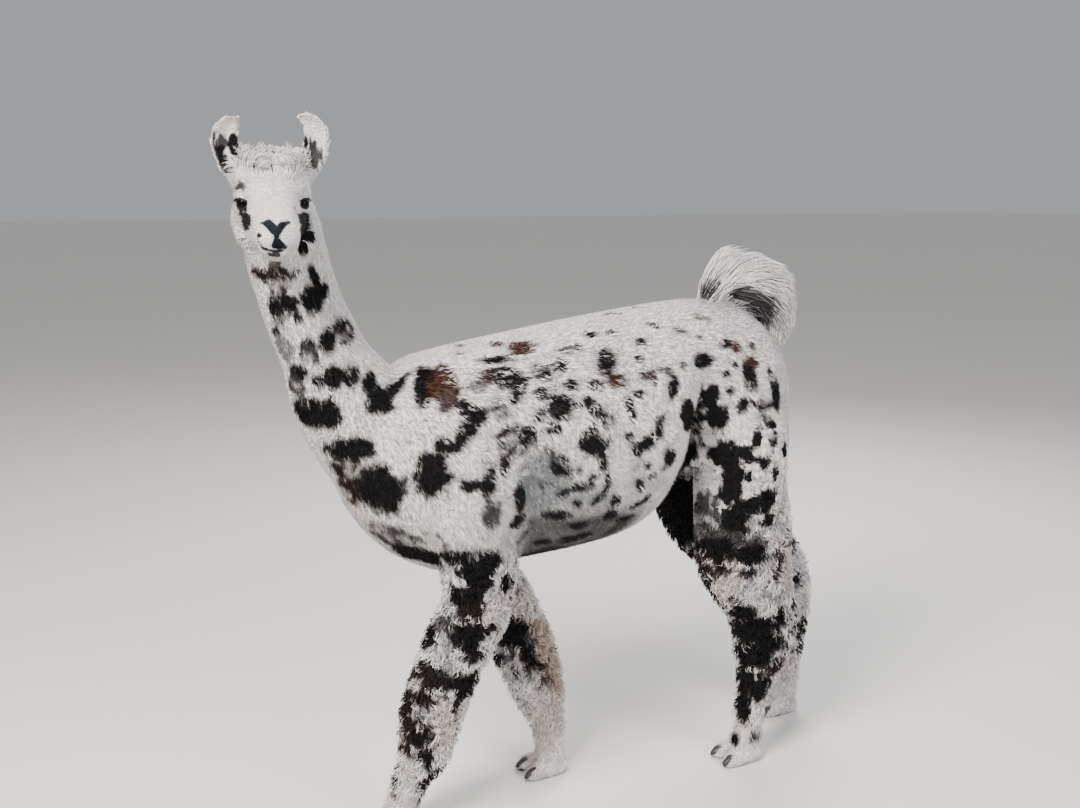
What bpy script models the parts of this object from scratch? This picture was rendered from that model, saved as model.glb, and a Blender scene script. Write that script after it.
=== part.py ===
"""A life-size spotted llama, standing in mid stride with its head turned to its left.

Metres, +Z up. The animal faces -Y, its left side is +X, and its feet stand on z = 0.
The closed solids are the outer form of the coat. The whole body is laid out as lofted
forms, fused into one skin, shaped with soft brush strokes, thinned, and then parted
with cuts of PART_GAP into its named pieces. Eyes and nails are solids of their own.
Run with: blender --background --python part.py
"""

import math

import bmesh
import bpy
import numpy as np
from mathutils import Matrix, Vector

# ---------------------------------------------------------------- driving dimensions
WITHERS_HEIGHT = 1.115
RUMP_HEIGHT = 1.228
BELLY_HEIGHT = 0.632
TRUNK_HALF_WIDTH = 0.235
EYE_POINT = (0.085, -0.771, 1.477)  # midway between the eyes
HEAD_YAW = 83.5  # degrees, turned to the animal's left
HEAD_PITCH = 15.0  # degrees, nose down
EYE_RADIUS = 0.0175
EYE_CENTRE = (0.0565, 0.0, 0.0)  # the left eye, in the head's frame
EYE_AZIMUTH = 46.0  # degrees from straight ahead to where an eye looks
EYE_OPENING = (0.0165, 0.0125)  # half width and half height between the lids
EAR_HALF_WIDTH = 0.027
TAIL_TOP = 1.343
TOE_LENGTH = 0.098
TOE_HALF_WIDTH = 0.0205
TOE_SPREAD = 0.0225  # each toe's middle line from the foot's
TOE_SPLAY = 5.0  # degrees
LAYOUT_MIDDLE = (0.0149, -0.0560)  # bounding box middle of the forms as laid out below

PART_GAP = 0.0006  # the cut between two neighbouring pieces
VOXEL = 0.004
BODY_TRIANGLES = 4000


# ---------------------------------------------------------------- scene and materials
def clear_scene():
    """Removes every object that is in the scene."""
    for old in list(bpy.data.objects):
        bpy.data.objects.remove(old, do_unlink=True)


def new_collection(name):
    """A collection linked to the scene."""
    made = bpy.data.collections.new(name)
    bpy.context.scene.collection.children.link(made)
    return made


def new_material(name, colour, roughness):
    """A Principled BSDF material of one colour."""
    made = bpy.data.materials.new(name)
    made.use_nodes = True
    shader = made.node_tree.nodes["Principled BSDF"]
    shader.inputs["Base Color"].default_value = (*colour, 1.0)
    shader.inputs["Roughness"].default_value = roughness
    shader.inputs["Metallic"].default_value = 0.0
    return made


# ---------------------------------------------------------------- lofted forms
def through(stations, per_span):
    """Rows between the stations on a Catmull-Rom curve through them."""
    rows = []
    last = len(stations) - 1
    for i in range(last):
        before, a = stations[max(i - 1, 0)], stations[i]
        b, after = stations[i + 1], stations[min(i + 2, last)]
        for step in range(per_span):
            t = step / per_span
            rows.append([
                0.5 * (2 * q + (r - p) * t + (2 * p - 5 * q + 4 * r - s) * t * t + (3 * q - p - 3 * r + s) * t**3)
                for p, q, r, s in zip(before, a, b, after)
            ])
    rows.append(list(stations[last]))
    return rows


def rounded(angle, half_side, half_depth, power):
    """A point of a superellipse: power 2 is an ellipse, and more is squarer."""
    c, s = math.cos(angle), math.sin(angle)
    side = math.copysign(abs(c) ** (2 / power), c) * half_side
    depth = math.copysign(abs(s) ** (2 / power), s) * half_depth
    return side, depth


def loft(bm, stations, place=None, sides=28, power=2.2, per_span=4, groove=0.0, upright=False):
    """A closed form through stations of x, y, z, half side and half depth.

    The rings stand square to the path, or upright and square to Y, with their sides
    along X. groove dishes the -depth face of each ring by that share of its depth, as
    inside an ear.
    """
    place = place or Matrix.Identity(4)
    rows = through(stations, per_span)
    points = [Vector(row[:3]) for row in rows]
    rings = []
    for i, row in enumerate(rows):
        tangent = (points[min(i + 1, len(rows) - 1)] - points[max(i - 1, 0)]).normalized()
        tangent = Vector((0, 1, 0)) if upright else tangent
        side_axis = (Vector((1, 0, 0)) - tangent * tangent.x).normalized()
        depth_axis = tangent.cross(side_axis)
        half_side, half_depth = max(row[3], 1e-3), max(row[4], 1e-3)
        ring = []
        for k in range(sides):
            side, depth = rounded(2 * math.pi * k / sides, half_side, half_depth, power)
            if groove and depth < 0:
                depth += groove * half_depth * (1 - (side / half_side) ** 2)
            ring.append(bm.verts.new(place @ (points[i] + side_axis * side + depth_axis * depth)))
        rings.append(ring)
    for one, two in zip(rings, rings[1:]):
        for k in range(sides):
            after = (k + 1) % sides
            bm.faces.new((one[k], one[after], two[after], two[k]))
    bm.faces.new(list(reversed(rings[0])))
    bm.faces.new(rings[-1])


def ball(bm, centre, radii, place=None, turn=0.0, segments=24):
    """An ellipsoid, turned about Z."""
    place = place or Matrix.Identity(4)
    turned = Matrix.Rotation(math.radians(turn), 4, "Z") @ Matrix.Diagonal((*radii, 1.0))
    spot = place @ Matrix.Translation(centre) @ turned
    bmesh.ops.create_uvsphere(bm, u_segments=segments, v_segments=segments // 2, radius=1.0, matrix=spot)


# ---------------------------------------------------------------- trunk, neck and tail
def trunk_form(bm):
    """The barrel from the chest to the rump. Rows are y, top, bottom and half width."""
    w, belly = TRUNK_HALF_WIDTH, BELLY_HEIGHT
    rows = [
        (-0.642, 0.92, 0.850, 0.12 * w),
        (-0.615, 0.97, 0.785, 0.34 * w),
        (-0.565, 1.03, 0.712, 0.54 * w),
        (-0.490, WITHERS_HEIGHT - 0.006, 0.650, 0.70 * w),
        (-0.380, WITHERS_HEIGHT + 0.025, 0.607, 0.79 * w),
        (-0.270, 1.157, 0.617, 0.87 * w),
        (-0.080, 1.186, belly, 0.98 * w),
        (0.050, 1.203, belly + 0.022, 1.00 * w),
        (0.150, 1.216, belly + 0.075, 0.95 * w),
        (0.230, RUMP_HEIGHT - 0.004, belly + 0.150, 0.83 * w),
        (0.330, RUMP_HEIGHT, 0.800, 0.76 * w),
        (0.430, 1.196, 0.800, 0.70 * w),
        (0.500, 1.140, 0.815, 0.55 * w),
        (0.544, 1.060, 0.865, 0.36 * w),
        (0.562, 0.985, 0.920, 0.12 * w),
    ]
    stations = [(0.0, y, (top + low) / 2, half, (top - low) / 2) for y, top, low, half in rows]
    loft(bm, stations, sides=48, power=2.2, upright=True)


# Rows are x, y, z, half width and half depth, from the trunk up to the skull.
NECK = [
    (0.000, -0.440, 0.860, 0.120, 0.175),
    (0.000, -0.566, 0.985, 0.104, 0.141),
    (0.000, -0.638, 1.105, 0.089, 0.099),
    (0.000, -0.682, 1.200, 0.080, 0.091),
    (0.000, -0.712, 1.285, 0.076, 0.087),
    (0.003, -0.733, 1.365, 0.075, 0.087),
    (0.012, -0.744, 1.430, 0.072, 0.080),
    (0.020, -0.752, 1.485, 0.064, 0.068),
]

# The tail: carried over the rump in a full arch, with its tip hanging behind.
TAIL = [
    (0.0, 0.338, 1.190, 0.030, 0.022),
    (0.0, 0.342, 1.232, 0.050, 0.038),
    (0.0, 0.380, TAIL_TOP - 0.076, 0.068, 0.060),
    (0.0, 0.438, TAIL_TOP - 0.075, 0.079, 0.075),
    (0.0, 0.496, TAIL_TOP - 0.092, 0.077, 0.074),
    (0.0, 0.536, TAIL_TOP - 0.140, 0.064, 0.060),
    (0.0, 0.552, TAIL_TOP - 0.190, 0.047, 0.040),
    (0.0, 0.556, TAIL_TOP - 0.235, 0.018, 0.015),
]

# ---------------------------------------------------------------- legs
# Rows are x, y, z, half width and half depth, from the trunk down to the pastern.
# Left and right differ, because the animal is in mid stride.
FORELEG_LEFT = [
    (0.105, -0.365, 0.960, 0.060, 0.110),
    (0.118, -0.352, 0.800, 0.078, 0.112),
    (0.124, -0.335, 0.660, 0.076, 0.094),
    (0.110, -0.340, 0.546, 0.071, 0.088),
    (0.092, -0.378, 0.453, 0.066, 0.086),
    (0.078, -0.421, 0.342, 0.062, 0.083),
    (0.069, -0.441, 0.264, 0.060, 0.080),
    (0.062, -0.456, 0.185, 0.052, 0.070),
    (0.056, -0.484, 0.125, 0.038, 0.050),
    (0.052, -0.505, 0.075, 0.033, 0.042),
    (0.050, -0.515, 0.035, 0.034, 0.042),
]
FORELEG_RIGHT = [
    (-0.105, -0.360, 0.960, 0.060, 0.110),
    (-0.118, -0.340, 0.800, 0.078, 0.112),
    (-0.124, -0.300, 0.660, 0.076, 0.094),
    (-0.112, -0.240, 0.540, 0.071, 0.088),
    (-0.100, -0.172, 0.413, 0.066, 0.087),
    (-0.085, -0.130, 0.304, 0.062, 0.086),
    (-0.072, -0.105, 0.216, 0.056, 0.074),
    (-0.060, -0.086, 0.140, 0.040, 0.052),
    (-0.052, -0.079, 0.080, 0.033, 0.040),
    (-0.050, -0.083, 0.035, 0.034, 0.042),
]
HIND_LEG_LEFT = [
    (0.110, 0.360, 1.070, 0.062, 0.110),
    (0.124, 0.367, 0.900, 0.080, 0.132),
    (0.128, 0.368, 0.764, 0.081, 0.127),
    (0.126, 0.380, 0.657, 0.078, 0.138),
    (0.120, 0.394, 0.569, 0.074, 0.137),
    (0.114, 0.426, 0.491, 0.068, 0.116),
    (0.108, 0.455, 0.430, 0.062, 0.105),
    (0.104, 0.468, 0.355, 0.057, 0.098),
    (0.100, 0.464, 0.285, 0.049, 0.080),
    (0.098, 0.447, 0.208, 0.040, 0.052),
    (0.095, 0.436, 0.120, 0.034, 0.043),
    (0.095, 0.430, 0.067, 0.033, 0.043),
    (0.095, 0.420, 0.035, 0.034, 0.044),
]
HIND_LEG_RIGHT = [
    (-0.110, 0.365, 1.070, 0.062, 0.110),
    (-0.124, 0.385, 0.900, 0.080, 0.138),
    (-0.128, 0.400, 0.764, 0.081, 0.146),
    (-0.128, 0.425, 0.657, 0.078, 0.150),
    (-0.124, 0.476, 0.580, 0.074, 0.138),
    (-0.118, 0.566, 0.505, 0.068, 0.122),
    (-0.110, 0.650, 0.430, 0.060, 0.103),
    (-0.104, 0.679, 0.340, 0.055, 0.090),
    (-0.100, 0.688, 0.250, 0.047, 0.070),
    (-0.096, 0.686, 0.160, 0.038, 0.053),
    (-0.095, 0.685, 0.100, 0.034, 0.045),
    (-0.095, 0.680, 0.060, 0.033, 0.043),
    (-0.095, 0.672, 0.035, 0.034, 0.044),
]
LEGS = {
    "fore_left": FORELEG_LEFT,
    "fore_right": FORELEG_RIGHT,
    "hind_left": HIND_LEG_LEFT,
    "hind_right": HIND_LEG_RIGHT,
}


def toe_place(leg, side):
    """The frame of one toe: its origin is on the floor under the pastern."""
    x, y = LEGS[leg][-1][:2]
    spread = Matrix.Translation((x + side * TOE_SPREAD, y, 0.0))
    return spread @ Matrix.Rotation(math.radians(side * TOE_SPLAY), 4, "Z")


def foot_form(bm, leg):
    """Two toes, each a soft pad that runs forward from under the pastern."""
    t, w = TOE_LENGTH, TOE_HALF_WIDTH
    for side in (-1, 1):
        stations = [
            (0.0, 0.042, 0.012, 0.45 * w, 0.012),
            (0.0, 0.030, 0.016, 0.85 * w, 0.020),
            (0.0, 0.000, 0.020, 1.00 * w, 0.024),
            (0.0, -0.45 * t, 0.0175, 1.00 * w, 0.0215),
            (0.0, -0.70 * t, 0.0140, 0.84 * w, 0.0165),
            (0.0, -0.80 * t, 0.0110, 0.50 * w, 0.0100),
        ]
        loft(bm, stations, toe_place(leg, side), sides=20)


def nail_form(bm, leg, side):
    """The nail of one toe: a blunt claw that curves down over the toe's tip."""
    t, w = TOE_LENGTH, TOE_HALF_WIDTH
    stations = [
        (0.0, -0.50 * t, 0.0315, 0.36 * w, 0.0045),
        (0.0, -0.66 * t, 0.0270, 0.60 * w, 0.0085),
        (0.0, -0.86 * t, 0.0150, 0.56 * w, 0.0085),
        (0.0, -0.98 * t, 0.0060, 0.22 * w, 0.0035),
    ]
    loft(bm, stations, toe_place(leg, side), sides=8, per_span=1)


# ---------------------------------------------------------------- head and ears
def head_matrix():
    """From the head's own frame (origin between the eyes, facing -Y) to the body's."""
    turn = Matrix.Rotation(math.radians(HEAD_YAW), 4, "Z")
    nod = Matrix.Rotation(math.radians(HEAD_PITCH), 4, "X")
    return Matrix.Translation(EYE_POINT) @ turn @ nod


def eye_matrix(side, place):
    """The frame of an eye: its origin is the eyeball's centre, and -Y looks out of it."""
    centre = (side * EYE_CENTRE[0], EYE_CENTRE[1], EYE_CENTRE[2])
    look = Matrix.Rotation(math.radians(side * EYE_AZIMUTH), 4, "Z")
    return place @ Matrix.Translation(centre) @ look


def head_form(bm, place):
    """Skull and muzzle. Rows are y, top, bottom and half width."""
    rows = [
        (0.140, 0.050, -0.030, 0.030),
        (0.118, 0.078, -0.075, 0.058),
        (0.070, 0.096, -0.108, 0.076),
        (0.018, 0.086, -0.110, 0.073),
        (-0.024, 0.066, -0.100, 0.062),
        (-0.058, 0.049, -0.090, 0.052),
        (-0.095, 0.035, -0.081, 0.045),
        (-0.128, 0.026, -0.077, 0.042),
        (-0.156, 0.017, -0.073, 0.040),
        (-0.177, 0.005, -0.063, 0.034),
        (-0.190, -0.009, -0.050, 0.022),
    ]
    stations = [(0.0, y, (top + low) / 2, half, (top - low) / 2) for y, top, low, half in rows]
    loft(bm, stations, place, sides=36, power=2.3, upright=True)
    for side in (-1, 1):
        centre = (side * (EYE_CENTRE[0] - 0.002), 0.002, 0.001)
        ball(bm, centre, (EYE_RADIUS + 0.0060, EYE_RADIUS + 0.010, EYE_RADIUS + 0.0060), place)  # lids
        ball(bm, (side * 0.046, 0.020, 0.014), (0.034, 0.052, 0.034), place)  # brow
        ball(bm, (side * 0.046, 0.056, -0.050), (0.040, 0.054, 0.054), place)  # cheek
        ball(bm, (side * 0.062, 0.100, 0.026), (0.024, 0.027, 0.034), place)  # root of the ear
        ball(bm, (side * 0.019, -0.158, -0.022), (0.024, 0.030, 0.026), place)  # upper lip


def ear_form(bm, side, place):
    """A banana-shaped ear: it bows outwards and its tip curls back in. The right ear leans in more."""
    w = EAR_HALF_WIDTH
    stations = [
        (0.050, 0.050, 0.098, 0.012, 0.012, 0.74 * w, 0.016),
        (0.072, 0.068, 0.104, 0.038, 0.036, 0.92 * w, 0.018),
        (0.090, 0.083, 0.108, 0.070, 0.067, 1.02 * w, 0.019),
        (0.099, 0.091, 0.110, 0.103, 0.099, 1.02 * w, 0.018),
        (0.097, 0.090, 0.110, 0.129, 0.123, 0.98 * w, 0.016),
        (0.087, 0.081, 0.108, 0.148, 0.141, 0.82 * w, 0.013),
        (0.071, 0.069, 0.106, 0.157, 0.150, 0.52 * w, 0.010),
        (0.058, 0.058, 0.104, 0.159, 0.152, 0.22 * w, 0.006),
    ]
    left = side > 0
    rows = [(side * (xl if left else xr), y, zl if left else zr, a, b) for xl, xr, y, zl, zr, a, b in stations]
    loft(bm, rows, place, sides=28, power=2.0, groove=1.45)


# ---------------------------------------------------------------- soft brush strokes
# Each stroke is a centre, three radii and the push at its middle. Strokes off the mid
# plane are made on both sides.
BODY_STROKES = [
    ((0.235, 0.225, 0.860), (0.110, 0.075, 0.215), (-0.070, 0.010, 0.000)),  # flank hollow
    ((0.195, 0.370, 0.860), (0.080, 0.130, 0.280), (0.016, 0.000, 0.000)),  # thigh
    ((0.175, -0.395, 0.860), (0.100, 0.165, 0.300), (0.024, 0.000, 0.000)),  # shoulder
    ((0.205, -0.195, 0.760), (0.090, 0.080, 0.200), (-0.018, 0.000, 0.000)),  # behind the elbow
    ((0.120, 0.280, 1.190), (0.080, 0.080, 0.070), (0.006, 0.000, 0.005)),  # point of the hip
    ((0.000, 0.545, 0.930), (0.070, 0.070, 0.200), (0.000, -0.014, 0.000)),  # between the thighs
    ((0.000, -0.705, 1.030), (0.100, 0.080, 0.130), (0.000, -0.014, -0.003)),  # base of the neck
    ((0.095, -0.615, 0.890), (0.070, 0.090, 0.120), (0.008, -0.004, 0.000)),  # point of the shoulder
]
HEAD_STROKES = [
    ((0.058, -0.042, 0.008), (0.030, 0.032, 0.034), (-0.005, 0.003, 0.000)),  # before the eye
    ((0.026, -0.172, 0.000), (0.020, 0.022, 0.017), (0.003, 0.004, 0.002)),  # nostril wing
    ((0.000, -0.192, -0.022), (0.011, 0.030, 0.030), (0.000, 0.005, 0.000)),  # split of the lip
    ((0.048, -0.090, -0.045), (0.026, 0.040, 0.026), (-0.004, 0.000, 0.000)),  # behind the lips
    ((0.000, -0.130, -0.078), (0.040, 0.060, 0.026), (0.000, 0.000, -0.004)),  # chin
    ((0.000, 0.050, 0.100), (0.070, 0.090, 0.040), (0.000, 0.000, 0.006)),  # topknot
]


def brush(points, strokes):
    """Pushes the points that lie within each stroke, most at its middle."""
    for centre, radii, push in strokes:
        for side in (1, -1) if centre[0] else (1,):
            mirror = np.array((side, 1.0, 1.0))
            away = (points - np.array(centre) * mirror) / np.array(radii)
            weight = np.clip(1.0 - (away**2).sum(axis=1), 0.0, None) ** 2
            points += weight[:, None] * np.array(push) * mirror
    return points


def shape(obj, place):
    """Makes the body strokes on the mesh, and the head strokes in the head's frame."""
    points = np.empty(len(obj.data.vertices) * 3)
    obj.data.vertices.foreach_get("co", points)
    points = brush(points.reshape(-1, 3), BODY_STROKES)
    turn, spot = np.array(place.to_3x3()), np.array(place.translation)
    in_head = (points - spot) @ turn
    near = (np.abs(in_head[:, 0]) < 0.10) & (np.abs(in_head[:, 1]) < 0.22) & (np.abs(in_head[:, 2]) < 0.15)
    in_head[near] = brush(in_head[near], HEAD_STROKES)
    points[near] = in_head[near] @ turn.T + spot
    obj.data.vertices.foreach_set("co", points.ravel())
    obj.data.update()


# ---------------------------------------------------------------- mesh helpers
def mesh_object(name, bm, collection):
    """Makes the bmesh an object of its own and frees it."""
    bmesh.ops.recalc_face_normals(bm, faces=bm.faces)
    mesh = bpy.data.meshes.new(name)
    bm.to_mesh(mesh)
    bm.free()
    made = bpy.data.objects.new(name, mesh)
    collection.objects.link(made)
    return made


def bake_modifiers(obj):
    """Replaces the object's mesh by what its modifiers make of it."""
    graph = bpy.context.evaluated_depsgraph_get()
    baked = bpy.data.meshes.new_from_object(obj.evaluated_get(graph))
    obj.modifiers.clear()
    obj.data = baked
    return obj


def fuse(obj, voxel, smoothing):
    """Makes one smooth skin of the overlapping forms."""
    remesh = obj.modifiers.new("Fuse", "REMESH")
    remesh.mode = "VOXEL"
    remesh.voxel_size = voxel
    smooth = obj.modifiers.new("Soften", "SMOOTH")
    smooth.factor = 0.5
    smooth.iterations = smoothing
    return bake_modifiers(obj)


def thin_out(obj, triangles, place=None):
    """Decimates the mesh, and keeps the head finer than the body."""
    obj.data.calc_loop_triangles()
    thin = obj.modifiers.new("Thin", "DECIMATE")
    thin.ratio = triangles / len(obj.data.loop_triangles)
    thin.use_collapse_triangulate = True
    if place:
        coarse = obj.vertex_groups.new(name="coarse")
        inverse = place.inverted()
        for v in obj.data.vertices:
            p = inverse @ v.co
            on_head = abs(p.x) < 0.16 and -0.22 < p.y < 0.17 and -0.13 < p.z < 0.25
            coarse.add([v.index], 0.5 if on_head else 1.0, "REPLACE")
        thin.vertex_group = coarse.name
        thin.vertex_group_factor = 0.07
    bake_modifiers(obj)
    obj.vertex_groups.clear()
    return obj


def block(outline, low, high, axis="Y"):
    """A prism: an outline of (x, z) points from y = low to high, or (y, z) along X."""
    bm = bmesh.new()
    flat = [Vector((a, low, b)) if axis == "Y" else Vector((low, a, b)) for a, b in outline]
    face = bm.faces.new([bm.verts.new(p) for p in flat])
    run = Vector((0, high - low, 0)) if axis == "Y" else Vector((high - low, 0, 0))
    made = bmesh.ops.extrude_face_region(bm, geom=[face])
    bmesh.ops.translate(bm, vec=run, verts=[v for v in made["geom"] if isinstance(v, bmesh.types.BMVert)])
    return bm


def half_space(point, normal, reach=1.2):
    """A cube whose one face passes through point, on the side that normal points to."""
    normal = Vector(normal).normalized()
    bm = bmesh.new()
    turn = normal.to_track_quat("Z", "Y").to_matrix().to_4x4()
    spot = Matrix.Translation(Vector(point) + normal * reach) @ turn
    bmesh.ops.create_cube(bm, size=2 * reach, matrix=spot)
    return bm


def grown(bm, by):
    """A copy of a convex block with every face moved outwards, so that a cut leaves a gap."""
    made = bm.copy()
    bmesh.ops.recalc_face_normals(made, faces=made.faces)
    made.normal_update()
    moves = {}
    for v in made.verts:
        rows = Matrix([f.normal for f in v.link_faces[:3]])
        moves[v] = rows.inverted() @ Vector((by, by, by))
    for v, move in moves.items():
        v.co += move
    return made


def boolean(obj, cutter, operation):
    """Cuts the object by another, or keeps what they share."""
    cutter.hide_render = True
    cutter.display_type = "WIRE"
    cut = obj.modifiers.new("Cut", "BOOLEAN")
    cut.operation = operation
    cut.object = cutter
    cut.solver = "EXACT"
    bake_modifiers(obj)


def split(obj, region, name, rig):
    """Parts off what lies in the region as a new object, and leaves PART_GAP between."""
    tight = mesh_object(name + "_region", region.copy(), rig["cutters"])
    wide = mesh_object(name + "_gap", grown(region, PART_GAP), rig["cutters"])
    region.free()
    piece = bpy.data.objects.new(name, obj.data.copy())
    rig["bodies"].objects.link(piece)
    boolean(piece, tight, "INTERSECT")
    boolean(obj, wide, "DIFFERENCE")
    return piece


def tidy(obj, least=1e-5):
    """Dissolves slivers and triangulates, so that every face is sound."""
    bm = bmesh.new()
    bm.from_mesh(obj.data)
    bmesh.ops.dissolve_degenerate(bm, dist=least, edges=bm.edges)
    bmesh.ops.triangulate(bm, faces=bm.faces)
    bm.to_mesh(obj.data)
    bm.free()


# ---------------------------------------------------------------- the whole animal
def whole_body(rig, place):
    """Trunk, neck, head, ears and legs as one closed mesh, standing flat on z = 0."""
    bm = bmesh.new()
    trunk_form(bm)
    loft(bm, NECK)
    for leg, stations in LEGS.items():
        loft(bm, stations)
        foot_form(bm, leg)
    head_form(bm, place)
    for side in (-1, 1):
        ear_form(bm, side, place)
    body = fuse(mesh_object("trunk", bm, rig["bodies"]), VOXEL, 8)
    shape(body, place)
    thin_out(body, BODY_TRIANGLES, place)
    floor = mesh_object("floor_cut", half_space((0, 0, 0), (0, 0, -1)), rig["cutters"])
    boolean(body, floor, "DIFFERENCE")
    return body


def part_legs(body, rig):
    """Takes each leg off the trunk, then divides it at the joints."""
    limb = {}
    for side, word in ((1, "left"), (-1, "right")):
        fore = [(-0.03, -0.05), (-0.03, 0.45), (0.012, 0.56), (0.26, 0.735), (0.40, 0.735), (0.40, -0.05)]
        reach = (-0.80, -0.19) if side > 0 else (-0.62, 0.09)
        limb["fore_" + word] = split(body, block([(side * x, z) for x, z in fore], *reach), "forearm_" + word, rig)
        hind = [(0.0, -0.05), (0.0, 0.66), (0.27, 1.03), (0.40, 1.03), (0.40, -0.05)]
        limb["hind_" + word] = split(body, block([(side * x, z) for x, z in hind], 0.215, 0.90), "thigh_" + word, rig)
    for word, knee, hock, stifle in (("left", 0.300, 0.385, 0.640), ("right", 0.270, 0.395, 0.620)):
        for name, leg, height in (
            ("fore_foot_", "fore_", 0.095),
            ("fore_cannon_", "fore_", knee),
            ("hind_foot_", "hind_", 0.095),
            ("hind_cannon_", "hind_", hock),
            ("gaskin_", "hind_", stifle),
        ):
            split(limb[leg + word], half_space((0, 0, height), (0, 0, -1)), name + word, rig)


def part_trunk(body, place, rig):
    """Parts off the head, the ears, the lower jaw and the neck."""
    throat = place @ Vector((0.0, 0.060, -0.105))
    head = split(body, half_space(throat, (0.12, -0.35, 0.93), 0.45), "head", rig)
    for side, word in ((1, "left"), (-1, "right")):
        outline = [(0.060, 0.068), (0.035, 0.21), (0.17, 0.21), (0.17, -0.04), (0.100, 0.022)]
        region = block([(side * x, z) for x, z in outline], 0.05, 0.18)
        bmesh.ops.transform(region, matrix=place, verts=region.verts)
        split(head, region, "ear_" + word, rig)
    jaw = block([(-0.26, -0.046), (-0.108, -0.052), (-0.092, -0.080), (-0.088, -0.20), (-0.26, -0.20)], -0.1, 0.1, "X")
    bmesh.ops.transform(jaw, matrix=place, verts=jaw.verts)
    split(head, jaw, "lower_jaw", rig)
    split(body, half_space((0, -0.560, 1.030), (0, -0.86, 0.51), 0.5), "neck", rig)
    return head


def fit_eyes(head, place, rig):
    """Opens the lids, hollows the sockets, and sets an eyeball in each."""
    wide, high = EYE_OPENING
    for side, word in ((1, "left"), (-1, "right")):
        spot = eye_matrix(side, place)
        socket, opening, eye = bmesh.new(), bmesh.new(), bmesh.new()
        ball(socket, (0, 0, 0), [EYE_RADIUS + PART_GAP] * 3, spot, segments=14)
        ball(opening, (0, -EYE_RADIUS - 0.001, 0), (wide, 0.014, high), spot, segments=20)
        ball(eye, (0, 0, 0), [EYE_RADIUS - 0.0002] * 3, spot, segments=14)
        boolean(head, mesh_object("socket_" + word, socket, rig["cutters"]), "DIFFERENCE")
        boolean(head, mesh_object("opening_" + word, opening, rig["cutters"]), "DIFFERENCE")
        mesh_object("eye_" + word, eye, rig["bodies"])


def fit_nails(rig):
    """Sets a nail into the front of each toe."""
    for leg in LEGS:
        end, word = leg.split("_")
        foot = rig["bodies"].objects[end + "_foot_" + word]
        for side, place_word in ((-1, "right"), (1, "left")):
            name = leg + "_nail_" + place_word
            nail, bed = bmesh.new(), bmesh.new()
            nail_form(nail, leg, side)
            nail_form(bed, leg, side)
            bed.normal_update()
            for v, n in [(v, v.normal.copy()) for v in bed.verts]:
                v.co += n * PART_GAP
            boolean(foot, mesh_object(name + "_bed", bed, rig["cutters"]), "DIFFERENCE")
            mesh_object(name, nail, rig["bodies"])


def fit_tail(rig):
    """Makes the tail, and takes the trunk away from its root."""
    bm = bmesh.new()
    loft(bm, TAIL, sides=24, power=2.1)
    tail = thin_out(fuse(mesh_object("tail", bm, rig["bodies"]), 0.006, 3), 360)
    trunk = rig["bodies"].objects["trunk"]
    clear = bpy.data.objects.new("tail_clearance", trunk.data.copy())
    rig["cutters"].objects.link(clear)
    swell = clear.modifiers.new("Swell", "DISPLACE")
    swell.strength = 0.0012
    swell.mid_level = 0.0
    bake_modifiers(clear)
    boolean(tail, clear, "DIFFERENCE")


def finish(rig):
    """Centres the animal on the origin and gives every piece its colour."""
    fleece = new_material("white fleece", (0.72, 0.70, 0.68), 0.9)
    spotted = new_material("spotted fleece", (0.42, 0.39, 0.38), 0.9)
    eye = new_material("dark eye", (0.012, 0.008, 0.007), 0.12)
    horn = new_material("horn", (0.06, 0.05, 0.045), 0.5)
    move = Matrix.Translation((-LAYOUT_MIDDLE[0], -LAYOUT_MIDDLE[1], 0.0))
    for obj in rig["bodies"].objects:
        tidy(obj)
        obj.data.transform(move)
        obj.data.materials.clear()
        legs = any(word in obj.name for word in ("gaskin", "cannon", "forearm", "thigh"))
        kind = eye if obj.name.startswith("eye") else horn if "nail" in obj.name else spotted if legs else fleece
        obj.data.materials.append(kind)
    for obj in rig["cutters"].objects:
        obj.data.transform(move)


def build():
    """Builds every solid of the animal."""
    clear_scene()
    rig = {"bodies": new_collection("llama"), "cutters": new_collection("llama_cutters")}
    place = head_matrix()
    body = whole_body(rig, place)
    part_legs(body, rig)
    head = part_trunk(body, place, rig)
    fit_eyes(head, place, rig)
    fit_nails(rig)
    fit_tail(rig)
    finish(rig)


build()
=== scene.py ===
# %% [markdown]
# # A spotted llama, life size
# A llama is built here as a museum shows one: still, in mid stride, with its head turned to look
# at the visitor. Its back and neck were shorn some weeks ago, so the coat there is short and lies
# flat. The legs were left in full wool, and the tail is a bush of long hair carried over the rump.
# The solid model gives the pose and the outline. This script gives the looks, in three layers:
# one skin, a coat of small mesh locks that follows the lie of the hair, and the bare parts, which
# are the eyes, the lids, the nose and the nails.

# %% The solid model and its box
import math

import bmesh
import bpy
import numpy as np
from mathutils import Matrix, Vector
from mathutils.bvhtree import BVHTree


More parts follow.
